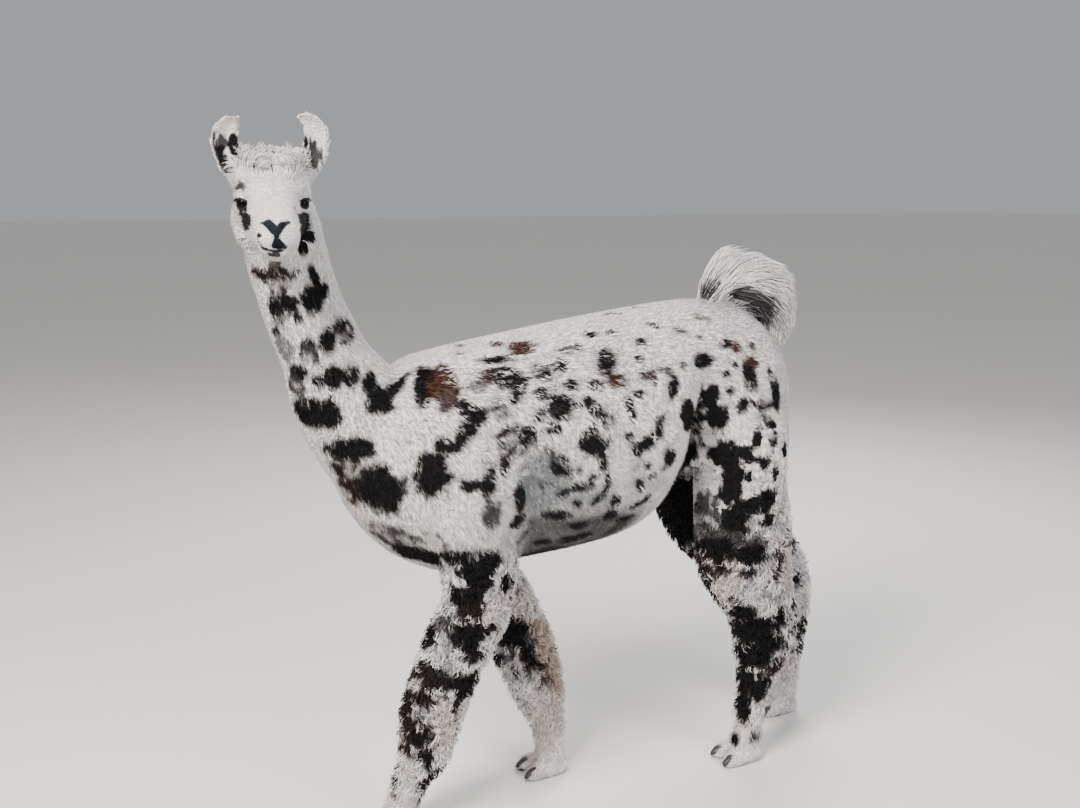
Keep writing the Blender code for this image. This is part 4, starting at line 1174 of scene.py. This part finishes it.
def wool_material():
    """Sheared and long fleece."""
    sheen = {"Sheen_Weight": 0.025, "Sheen_Roughness": 0.5}
    made, tree, shader = new_material(
        "llama_wool", Roughness=0.8, IOR=1.55, Specular_IOR_Level=0.09, **sheen
    )
    lock = add(tree, "ShaderNodeSeparateXYZ", Vector=attribute(tree, "lock").outputs["Color"])
    place = add(tree, "ShaderNodeTexCoord").outputs["Object"]
    tone = remap(tree, lock.outputs["X"], 0.80, 1.08)
    # Painted shade: each lock is darker at its root, where the locks cover one another.
    tip = remap(tree, lock.outputs["Y"], 0.86, 1.05)
    speck = remap(tree, grain(tree, place, 55.0, 3.0), 0.92, 1.05, 0.3, 0.7)
    level = times(tree, times(tree, tone, tip), speck)
    fibres = grain(tree, place, 900.0, 2.0)
    finish_look(tree, shader, attribute(tree, "mark").outputs["Color"], level, fibres, 0.35, 0.0008)
    return made


def skin_material():
    """Skin under short hair: its relief is a felt of flat hairs a few millimetres long."""
    made, tree, shader = new_material("haired_skin", Roughness=0.62, IOR=1.45, Specular_IOR_Level=0.15)
    felt = grain(tree, add(tree, "ShaderNodeTexCoord").outputs["Object"], 260.0, 4.0, 0.6)
    shade = remap(tree, felt, 0.80, 1.0, 0.3, 0.7)
    finish_look(tree, shader, attribute(tree, "mark").outputs["Color"], shade, felt, 0.5, 0.0012)
    return made


def new_piece(name, bm, look, node=None):
    """A smooth piece of a bmesh in one material, in place of a node where one is given."""
    mesh = bpy.data.meshes.new(name)
    bm.to_mesh(mesh)
    bm.free()
    mesh.polygons.foreach_set("use_smooth", [True] * len(mesh.polygons))
    mesh.materials.append(look)
    made = new_object(name, mesh)
    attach(made, "root")
    if node:
        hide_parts(node)
    return made


wool_look = wool_material()
skin_look = skin_material()
print("materials:", wool_look.name, skin_look.name)

# %% [markdown]
# ## Finishing the skin
# The sculpted points go back into the mesh, and the markings are stored on its vertices. The skin
# is also unwrapped, because every lock of the coat takes its place in the texture maps from the
# spot it grows on. A smart projection cuts the skin where it turns sharply and lays each piece flat.

# %% Finishing the skin


def paint(mesh, name, colours):
    """Stores a colour for each vertex under that name."""
    layer = mesh.attributes.new(name, "FLOAT_COLOR", "POINT")
    layer.data.foreach_set("color", np.column_stack([colours, np.ones(len(colours))]).ravel())


skin.data.vertices.foreach_set("co", surface.points.ravel())
skin.data.polygons.foreach_set("use_smooth", [True] * len(skin.data.polygons))
paint(skin.data, "mark", skin_colours)
skin.data.materials.clear()
skin.data.materials.append(skin_look)
skin.data.uv_layers.new(name="OFBake")
bpy.context.view_layer.objects.active = skin
skin.select_set(True)
bpy.ops.object.mode_set(mode="EDIT")
bpy.ops.mesh.select_all(action="SELECT")
bpy.ops.uv.smart_project(angle_limit=math.radians(70), island_margin=0.0008)
bpy.ops.object.mode_set(mode="OBJECT")
skin.data.update()
unwrap = read(skin.data.uv_layers["OFBake"].uv, "vector", float, 2).reshape(-1, 3, 2)
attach(skin, "root")
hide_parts(*flesh)
print("skin finished:", len(skin.data.polygons), "faces")

# %% [markdown]
# ## The lie of the coat
# Hair grows back from the nose, down the neck, back and down over the barrel, and straight down the
# legs. It runs along the ears and along the tail. Each coat gets its direction here, laid flat on
# the skin and spread, so that it turns smoothly where two coats meet. On the tail, hair follows the
# middle line of the arch, and the nearest place on that line gives the way.

# %% The lie of the coat
TAIL_LINE = np.array([
    (-0.015, 0.394, 1.185), (-0.015, 0.398, 1.232), (-0.015, 0.436, 1.270), (-0.015, 0.494, 1.272),
    (-0.015, 0.552, 1.250), (-0.015, 0.592, 1.200), (-0.015, 0.608, 1.145), (-0.015, 0.612, 1.020),
])
EAR_HEIGHTS = (20, 70, 110, 132, 150, 165)
EAR_LEANS = (34, 12, -4, -30, -62, -78)


def tail_way(points):
    """The direction of the tail's middle line nearest to each point, and the way out from it."""
    best = np.full(len(points), 1e9)
    way = np.zeros_like(points)
    out = np.zeros_like(points)
    for a, b in zip(TAIL_LINE, TAIL_LINE[1:]):
        run = b - a
        t = np.clip((points - a) @ run / (run @ run), 0.0, 1.0)
        off = points - (a + t[:, None] * run)
        away = np.linalg.norm(off, axis=1)
        nearer = away < best
        way[nearer] = run / np.linalg.norm(run)
        out[nearer] = off[nearer]
        best = np.minimum(best, away)
    return way, unit(out)


def lie_of_coat():
    """The direction of the hair at each skin point, flat on the skin."""
    p, h = surface.points, to_head(surface.points) / MM
    way = np.tile((0.0, 0.05, -1.0), (len(p), 1))
    trunk, ear, tail = surface.of("trunk"), surface.of("ear"), surface.of("tail")
    steep = smooth_step(1.20, 0.95, p[trunk, 2])
    way[trunk] = np.column_stack([0 * steep, 1.0 - 0.35 * steep, -0.15 - 0.75 * steep])
    way[surface.of("neck")] = (0.0, 0.30, -1.0)
    way[surface.of("fore_foot", "hind_foot")] = (0.0, -0.75, -0.65)
    local = np.column_stack([0 * h[:, 0], 1.0 - 0.3 * cheek, 0.10 - 1.1 * cheek])
    up = np.column_stack([h[:, 0] * 0.012, -0.45 + 0 * h[:, 0], 0.9 + 0 * h[:, 0]])
    local = local + (up - local) * crown[:, None]
    way[is_head] = (local @ HEAD_TURN.T)[is_head]
    lean = np.radians(np.interp(h[:, 2], EAR_HEIGHTS, EAR_LEANS))
    along = np.column_stack([np.sign(h[:, 0]) * np.sin(lean), 0 * lean, np.cos(lean)])
    way[ear] = (along @ HEAD_TURN.T)[ear]
    way[tail] = tail_way(p[tail])[0]
    way = surface.spread(unit(way), 10)
    way -= surface.normals * (way * surface.normals).sum(axis=1, keepdims=True)
    return unit(way)


coat_way = lie_of_coat()
print("mean lie on the barrel:", coat_way[surface.of("trunk")].mean(axis=0).round(2))

# %% [markdown]
# ## Growing locks
# A lock is a slim three-sided spike: flat underneath, ridged on top, widest near its root, and
# curved so that its tip lies on the locks behind it. It has 4 triangles in short hair and up to 34
# in the tail, and there are about two hundred thousand of them, so they are built as whole arrays
# and joined into a few meshes. A modifier or instances would do the same, but the arrays let each
# lock take its colour, its length and its place in the texture maps from the spot it grows on.
# Locks lean together in tufts a centimetre or two wide. Each coat has its own seed, rings to a
# lock, width of a tuft in metres, lean towards the tuft's middle, swirl in radians, and contrast.

# %% Growing locks
PATCH = 0.0028
SUNK, SUNK_SHARE = 0.0016, 0.05
TAPER_AT, TAPER = (0.0, 0.25, 0.65, 1.0), (0.75, 1.0, 0.86, 0.0)
RIDGE = 0.9
FLOOR_GAP = 0.0003
LOCK_FILL = 0.62
COLOUR_AT = 0.45
COAT_LIMIT = 190_000


def build_locks(name, rows, colours, patches, looks):
    """Joins locks into one mesh. rows holds, for each ring, its middle, across, up and width."""
    rings = len(rows) - 1
    count = len(rows[0][0])
    verts = np.empty((count, 3 * rings + 1, 3))
    uv = np.empty((count, 3 * rings + 1, 2))
    along = np.empty((count, 3 * rings + 1))
    for k, (middle_line, across, up, width) in enumerate(rows[:-1]):
        half = (width * 0.5)[:, None]
        verts[:, 3 * k] = middle_line - across * half
        verts[:, 3 * k + 1] = middle_line + across * half
        verts[:, 3 * k + 2] = middle_line + up * half * RIDGE
        for j, shift in enumerate((-0.5, 0.5, 0.0)):
            uv[:, 3 * k + j] = patches + np.array((shift, k / rings - 0.5)) * PATCH
            along[:, 3 * k + j] = k / rings
    verts[:, -1] = rows[-1][0]
    uv[:, -1] = patches + np.array((0.0, 0.5)) * PATCH
    along[:, -1] = 1.0
    verts[..., 2] = np.maximum(verts[..., 2], FLOOR_GAP)
    faces = [(0, 1, 2)]
    for k in range(rings - 1):
        a = 3 * k
        for i, j in ((0, 1), (1, 2), (2, 0)):
            faces += [(a + j, a + i, a + 3 + i), (a + j, a + 3 + i, a + 3 + j)]
    last, tip = 3 * (rings - 1), 3 * rings
    faces += [(last + j, last + i, tip) for i, j in ((0, 1), (1, 2), (2, 0))]
    faces = np.array(faces)[:, ::-1]
    loops = (faces[None] + (np.arange(count) * (tip + 1))[:, None, None]).reshape(-1)
    mesh = bpy.data.meshes.new(name)
    mesh.vertices.add(count * (tip + 1))
    mesh.vertices.foreach_set("co", verts.ravel())
    mesh.loops.add(len(loops))
    mesh.loops.foreach_set("vertex_index", loops)
    mesh.polygons.add(len(loops) // 3)
    mesh.polygons.foreach_set("loop_start", np.arange(0, len(loops), 3))
    mesh.update(calc_edges=True)
    mesh.polygons.foreach_set("use_smooth", [True] * len(mesh.polygons))
    mesh.uv_layers.new(name="OFBake")
    mesh.uv_layers["OFBake"].uv.foreach_set("vector", uv.reshape(-1, 2)[loops].ravel())
    ring_of = np.append(np.repeat(np.arange(rings), 3), rings)
    paint(mesh, "mark", colours[:, ring_of].reshape(-1, 3))
    chance = np.repeat(looks[:, None], tip + 1, axis=1).ravel()
    paint(mesh, "lock", np.column_stack([chance, along.ravel(), 0 * chance]))
    mesh.materials.append(wool_look)
    made = new_object(name, mesh)
    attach(made, "root")
    return made


def trace(roots, normals, way, length, width, lift, wave, pull, rings, rng, follow=None):
    """The rings of each lock, from its root to its tip."""
    count = len(roots)
    place = roots - normals * np.minimum(SUNK, length * SUNK_SHARE)[:, None]
    phase = rng.uniform(0, 2 * np.pi, count) * 0.35 + 9.0 * noise(roots, 0.05, 83)
    step = (length / rings)[:, None]
    rows = []
    for k in range(rings + 1):
        t, centre = k / rings, (k + 0.5) / rings
        if follow and k:
            flow, out = follow(place)
            way = unit(0.45 * way + 0.55 * flow)
            normals = unit(out - way * (out * way).sum(axis=1, keepdims=True))
        across = unit(np.cross(way, normals))
        angle = (lift * (1.2 - 1.3 * centre) if rings > 1 else lift)[:, None]
        swing = (wave * np.sin(phase + 6.5 * centre))[:, None]
        heading = unit(way * np.cos(angle) + normals * np.sin(angle) + across * swing)
        up = unit(np.cross(across, heading)) * -1.0
        up = np.where((up * normals).sum(axis=1, keepdims=True) < 0, -up, up)
        rows.append((place, across, up, width * np.interp(t, TAPER_AT, TAPER)))
        place = place + heading * step + pull * (2 * centre / rings)
    return rows


def gather(points, size, seed):
    """Which tuft each root belongs to, and the way to the tuft's middle."""
    bend = np.column_stack([noise(points, size * 1.7, seed + k) for k in range(3)])
    cells = np.floor((points + 0.35 * size * bend) / size).astype(np.int64)
    tuft = np.unique(cells, axis=0, return_inverse=True)[1].ravel()
    many = np.bincount(tuft)
    middles = np.column_stack([np.bincount(tuft, points[:, k]) / many for k in range(3)])
    return tuft, middles[tuft] - points


def scatter(chosen, density, rng):
    """Roots spread evenly over the chosen triangles: their points, normals and so on."""
    area = np.linalg.norm(surface.areas, axis=1) / 2 * chosen * density
    total = np.cumsum(area)
    count = int(total[-1])
    picks = np.searchsorted(total, (np.arange(count) + rng.random(count)) * total[-1] / count)
    share = rng.random((count, 2))
    flip = share.sum(axis=1) > 1
    share[flip] = 1 - share[flip]
    weights = np.column_stack([1 - share.sum(axis=1), share])
    corners = surface.triangles[picks]

    def mix(values):
        return (values[corners] * weights.reshape(len(weights), 3, *([1] * (values.ndim - 1)))).sum(axis=1)

    return {
        "points": mix(surface.points),
        "normals": unit(mix(surface.normals)),
        "way": unit(mix(coat_way)),
        "coats": surface.coat[corners[:, 0]],
        "patches": (unwrap[picks] * weights[:, :, None]).sum(axis=1),
        "inset": mix(inset),
        **{name: mix(wool[name]) for name in FIELDS},
    }


def grow(name, region, seed, rings, tuft_size, pull, swirl, contrast, crisp=0.0, follow=None, keep=None):
    """Grows the coat of a region as one or more meshes under the limit of a piece.

    A lock has the colour of one spot of the skin. A crisp one takes a new colour at each ring.
    """
    rng = np.random.default_rng(seed)
    chosen = region[surface.triangles].sum(axis=1) >= 2
    density = wool["layers"] / (wool["length"] * wool["width"] * LOCK_FILL)
    root = scatter(chosen, density[surface.triangles[:, 0]], rng)
    if keep is not None:
        kept = keep(root["points"])
        root = {key: values[kept] for key, values in root.items()}
    points, normals = root["points"], root["normals"]
    count = len(points)
    tuft, inward = gather(points, tuft_size, seed)
    whims = rng.uniform(-1, 1, (tuft.max() + 1, 3))[tuft]
    turn = 0.6 * layered(points, 0.04, seed + 5) + 0.6 * whims[:, 0]
    turn = swirl * (turn + 0.35 * rng.uniform(-1, 1, count))
    side = np.cross(normals, root["way"])
    way = unit(root["way"] * np.cos(turn)[:, None] + side * np.sin(turn)[:, None])
    inward = (inward - normals * (inward * normals).sum(axis=1, keepdims=True)) * pull
    length = root["length"] * rng.uniform(0.75, 1.2, count) * (1 + 0.18 * whims[:, 1])
    width = root["width"] * rng.uniform(0.7, 1.3, count)
    needed = np.arcsin(np.clip(root["inset"] / (0.55 * length), 0.05, 0.9))
    lift = needed * rng.uniform(0.55, 1.15, count) + root["stand"] * rng.uniform(0.5, 1.3, count)
    rows = trace(points, normals, way, length, width, lift, root["wave"], inward, rings, rng, follow)
    jitter = 0.7 * whims[:, 2] + 0.3 * rng.uniform(-1, 1, count)
    colours = np.empty((count, rings + 1, 3))
    for k in range(rings + 1):
        if k == 0 or crisp:
            reach = length * (COLOUR_AT + crisp * (k / rings - COLOUR_AT))
            asked = points + way * reach[:, None] + inward * 0.5
            shade = markings(asked, normals, root["coats"], jitter)
        colours[:, k] = shade
    looks = 0.5 + contrast * (0.3 * whims[:, 1] + 0.2 * rng.uniform(-1, 1, count))
    faces = count * (6 * (rings - 1) + 4)
    pieces = max(1, math.ceil(faces / COAT_LIMIT))
    order = np.argsort(points[:, 1], kind="stable")
    for k, part in enumerate(np.array_split(order, pieces)):
        cut = [(a[part], b[part], c[part], d[part]) for a, b, c, d in rows]
        label = name if pieces == 1 else f"{name}_{k + 1}"
        build_locks(label, cut, colours[part], root["patches"][part], looks[part])
    print(name + ":", count, "locks,", faces, "triangles in", pieces, "pieces")
    return faces


def off_the_eye(points):
    """Where roots are clear of the eyes' openings."""
    clear = np.ones(len(points), bool)
    for side in (1, -1):
        turn, spot = eye_frame(side)
        local = (points - spot) @ turn
        far = (np.linalg.norm(local, axis=1) > RIM_REACH) | (local[:, 1] > 0.006)
        clear &= far | (past_opening(unit(local)) > 0.0022)
    return clear


long_wool = (crown > 0.45) | (beard > 0.25)
short_neck, face = surface.of("neck") & ~long_wool, is_head & ~long_wool
legs = surface.of("forearm", "fore_cannon", "thigh", "gaskin", "hind_cannon")
feet = surface.of("fore_foot", "hind_foot")
total = grow("barrel_coat", surface.of("trunk"), 101, 1, 0.013, 0.40, 0.32, 0.45, crisp=0.85)
total += grow("neck_coat", short_neck, 102, 1, 0.011, 0.40, 0.32, 0.45, crisp=0.85)
total += grow("leg_wool", legs, 103, 3, 0.021, 0.85, 1.35, 1.0, crisp=0.3)
total += grow("foot_hair", feet, 104, 1, 0.009, 0.35, 0.35, 0.6, crisp=0.5)
total += grow("tail_hair", surface.of("tail"), 105, 6, 0.022, 0.30, 0.14, 0.9, follow=tail_way)
total += grow("ear_hair", surface.of("ear"), 106, 2, 0.008, 0.35, 0.25, 0.5, crisp=0.5)
total += grow("face_hair", face, 107, 1, 0.007, 0.30, 0.20, 0.35, crisp=0.9, keep=off_the_eye)
total += grow("head_wool", long_wool, 108, 4, 0.015, 0.90, 0.45, 0.1, keep=off_the_eye)
print("coat in all:", total, "triangles")

# %% [markdown]
# ## The eyes
# Each eye is a full ball with a small bulge for the cornea. A llama's eye is large and nearly
# black, with a dark brown iris and a pupil that lies level, so it is mostly a mirror for the
# lights. The vertices carry their direction from the ball's middle, and the material draws the
# iris and the pupil from it. A dark moist rim runs along the edge of both lids. A new sphere comes
# with its faces in a different order on each run, so they are sorted by their vertices.

# %% The eyes
IRIS, PUPIL = 0.62, (0.36, 0.20)
CORNEA = 0.0009
BALL_LIMIT = 2000
RIM_STEPS, RIM_AROUND = 40, 8
SIDES = ((1, "left"), (-1, "right"))


def eye_material():
    """A brown iris, a level pupil and a wet clear surface."""
    wet = {"Coat_Weight": 0.15, "Coat_Roughness": 0.02}
    made, tree, shader = new_material("llama_eye", Roughness=0.12, IOR=1.38, Specular_IOR_Level=0.08, **wet)
    gaze = attribute(tree, "gaze").outputs["Vector"]
    split = add(tree, "ShaderNodeSeparateXYZ", Vector=gaze)

    def out_from_middle(wide, high):
        """How far a direction lies from the middle of an oval, 1 on its edge."""
        x = times(tree, split.outputs["X"], 1.0 / wide)
        z = times(tree, split.outputs["Z"], 1.0 / high)
        flat = add(tree, "ShaderNodeCombineXYZ", X=x, Y=z).outputs[0]
        return add(tree, "ShaderNodeVectorMath", {"operation": "LENGTH"}, i0=flat).outputs["Value"]

    in_iris = remap(tree, out_from_middle(1.0, 1.0), 0.0, 1.0, IRIS, IRIS - 0.05)
    in_pupil = remap(tree, out_from_middle(*PUPIL), 0.0, 1.0, 1.06, 0.94)
    brown = two_tones(tree, grain(tree, gaze, 9.0, 4.0), "#040202", "#0a0604")
    ball = two_tones(tree, in_iris, "#050404", brown)
    tree.links.new(two_tones(tree, in_pupil, ball, "#050404"), shader.inputs["Base Color"])
    return made


def face_number(face):
    """A number that belongs to one face only, from its vertices in rising order."""
    number = 0
    for index in sorted(v.index for v in face.verts):
        number = number * BALL_LIMIT + index
    return number


def make_eye(node, side, look):
    """A fine eyeball in place of the solid model's."""
    place, level = eye_place(side), Matrix.Rotation(math.pi / 2, 4, "X")
    bm = bmesh.new()
    bmesh.ops.create_uvsphere(bm, u_segments=48, v_segments=32, radius=1.0, matrix=level)
    bm.verts.index_update()
    bm.faces.sort(key=face_number)
    directions = [v.co.normalized() for v in bm.verts]
    for v, way in zip(bm.verts, directions):
        bulge = CORNEA * float(smooth_step(0.70, 0.95, -way.y))
        v.co = place @ (way * (EYE_RADIUS - 0.0002 + bulge - CORNEA * 0.5))
    ball = new_piece(node + "_ball", bm, look, node)
    gaze = ball.data.attributes.new("gaze", "FLOAT_VECTOR", "POINT")
    gaze.data.foreach_set("vector", [value for way in directions for value in way])


def on_ball(x, z):
    """Directions from the ball's middle to places of its front."""
    y = -np.sqrt(np.maximum(EYE_RADIUS**2 - x**2 - z**2, 0.0))
    return unit(np.column_stack([x, y, z]))


def make_rim(name, side, look):
    """The moist rim along both lids, as a thin tube."""
    over = np.linspace(-1, 1, RIM_STEPS) * LID_WIDE * 0.995
    under = over[::-1][1:-1]
    heights = np.concatenate([lid_height(over, True), lid_height(under, False)])
    edge = on_ball(np.concatenate([over, under]), heights)
    turn, spot = eye_frame(side)
    ahead = unit(np.roll(edge, -1, axis=0) - np.roll(edge, 1, axis=0))
    bm = bmesh.new()
    rings = []
    for way, out in zip(edge, unit(np.cross(ahead, edge))):
        ring = []
        for k in range(RIM_AROUND):
            angle = 2 * math.pi * k / RIM_AROUND
            p = way * (EYE_RADIUS + 0.0007 + 0.0011 * math.cos(angle)) + out * 0.0013 * math.sin(angle)
            ring.append(bm.verts.new(Vector(turn @ p + spot)))
        rings.append(ring)
    for a, b in zip(rings, rings[1:] + rings[:1]):
        for k in range(RIM_AROUND):
            bm.faces.new((a[k], a[k - 1], b[k - 1], b[k]))
    bmesh.ops.recalc_face_normals(bm, faces=bm.faces)
    new_piece(name, bm, look)


rim_look = new_material("moist_lid", Base_Color=solid("#17130f"), Roughness=0.38)[0]
eye_look = eye_material()
for side, name in SIDES:
    make_eye("eye_" + name, side, eye_look)
    make_rim("lid_rim_" + name, side, rim_look)
print("eyes made")

# %% [markdown]
# ## The lashes
# A llama's upper lashes are long and thick and stand out level over the eye. They are grown with
# the same lock builder as the coat, from roots along the edge of the upper lid.

# %% The lashes
LASHES, LASH_RINGS, LASH_WIDE, LASH_DROOP = 46, 3, 0.0009, -0.14
skin_tree = surface.tree()


def grow_lashes(name, side, seed):
    """The upper lashes of one eye."""
    rng = np.random.default_rng(seed)
    x = np.sort(rng.uniform(-0.92, 0.92, LASHES)) * LID_WIDE
    z = lid_height(x, True) + rng.uniform(-0.0003, 0.0010, LASHES)
    ones = np.ones(LASHES)
    turn, spot = eye_frame(side)
    roots = (on_ball(x, z) * (EYE_RADIUS + 0.0016)) @ turn.T + spot
    heading = unit(np.column_stack([x * 26 + rng.normal(0, 0.10, LASHES), -ones, 0.02 * ones]))
    normals = unit(np.column_stack([0 * ones, 0.25 * ones, ones]))
    rows = trace(
        roots, normals @ turn.T, heading @ turn.T, rng.uniform(0.006, 0.010, LASHES),
        LASH_WIDE * ones, LASH_DROOP * ones, 0 * ones, 0 * roots, LASH_RINGS, rng,
    )
    patches = np.array([unwrap[skin_tree.find_nearest(Vector(p))[2]].mean(axis=0) for p in roots])
    shade = np.tile(TONES["black"], (LASHES, LASH_RINGS + 1, 1))
    build_locks(name, rows, shade, patches, rng.random(LASHES))


for side, name in SIDES:
    grow_lashes("lashes_" + name, side, 200 + side)
print("lashes made")

# %% [markdown]
# ## The nails
# Each foot has two toes, and each toe ends in a curved horn nail. The solid nails are copied,
# rounded with a subdivision and given a horn material with fine streaks.

# %% The nails


def horn_material():
    """Dark horn with faint streaks."""
    made, tree, shader = new_material("horn_nail", Roughness=0.45)
    streaks = grain(tree, add(tree, "ShaderNodeTexCoord").outputs["Object"], 90.0, 5.0, 0.6)
    finish_look(tree, shader, two_tones(tree, streaks, "#1a1613", "#3f372f"), 1.0, streaks, 0.25, 0.001)
    return made


NAIL_SHARE = (0.80, 0.72, 0.78)
NAIL_LOW = 0.0004
nails = [n for n in nodes if "_nail_" in n]
nail_look = horn_material()
for node in nails:
    bm = merged_copy(node)
    bmesh.ops.subdivide_edges(bm, edges=bm.edges, cuts=1, use_grid_fill=True, smooth=0.4)
    relax(bm, bm.verts, 0.4, 2)
    low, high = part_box(node)
    hold = Vector(((low.x + high.x) / 2, high.y, low.z + 0.3 * (high.z - low.z)))
    for v in bm.verts:
        v.co = hold + (v.co - hold) * Vector(NAIL_SHARE)
        v.co.z = max(v.co.z, NAIL_LOW)
    new_piece(node + "_horn", bm, nail_look, node)
print("nails made:", len(nails))

# %% [markdown]
# ## The room
# The llama stands on a plain pale floor. A broad soft light from above and the visitor's left
# models the body, a second one fills the shadows, and a third from behind parts the white coat
# from the background. The world gives a pale even light, and looks a little darker than it shines.

# %% The room
LIGHTS = [
    ("key_light", (1.6, -2.6, 3.8), (0.0, 0.0, 0.9), 1.7, 400, "#fff9f2"),
    ("fill_light", (3.4, 1.6, 2.6), (0.0, 0.2, 0.9), 2.6, 120, "#f2f5ff"),
    ("back_light", (-2.6, 2.2, 3.4), (0.0, 0.0, 1.0), 2.2, 160, "#ffffff"),
]
FLOOR_HALF = 60.0
ROOM_LIGHT, ROOM_SEEN = 0.62, 0.50

floor_mesh = bpy.data.meshes.new("floor")
bm = bmesh.new()
bmesh.ops.create_grid(bm, x_segments=1, y_segments=1, size=FLOOR_HALF)
bm.to_mesh(floor_mesh)
bm.free()
floor_mesh.materials.append(new_material("pale_floor", Base_Color=solid("#dedbd6"), Roughness=0.8)[0])
floor = new_object("floor", floor_mesh)

for name, spot, aim, size, power, code in LIGHTS:
    data = bpy.data.lights.new(name, "AREA")
    data.shape = "DISK"
    data.size = size
    data.energy = power
    data.color = linear(code)
    facing = (Vector(aim) - Vector(spot)).to_track_quat("-Z", "Y").to_matrix().to_4x4()
    new_object(name, data).matrix_world = Matrix.Translation(spot) @ facing
world = bpy.data.worlds.new("room")
world.use_nodes = True
walls = world.node_tree.nodes["Background"]
walls.inputs["Color"].default_value = solid("#e4e6e9")
seen = add(world.node_tree, "ShaderNodeLightPath").outputs["Is Camera Ray"]
strength = remap(world.node_tree, seen, ROOM_LIGHT, ROOM_SEEN)
world.node_tree.links.new(strength, walls.inputs["Strength"])
bpy.context.scene.world = world
print("lights:", len(LIGHTS))
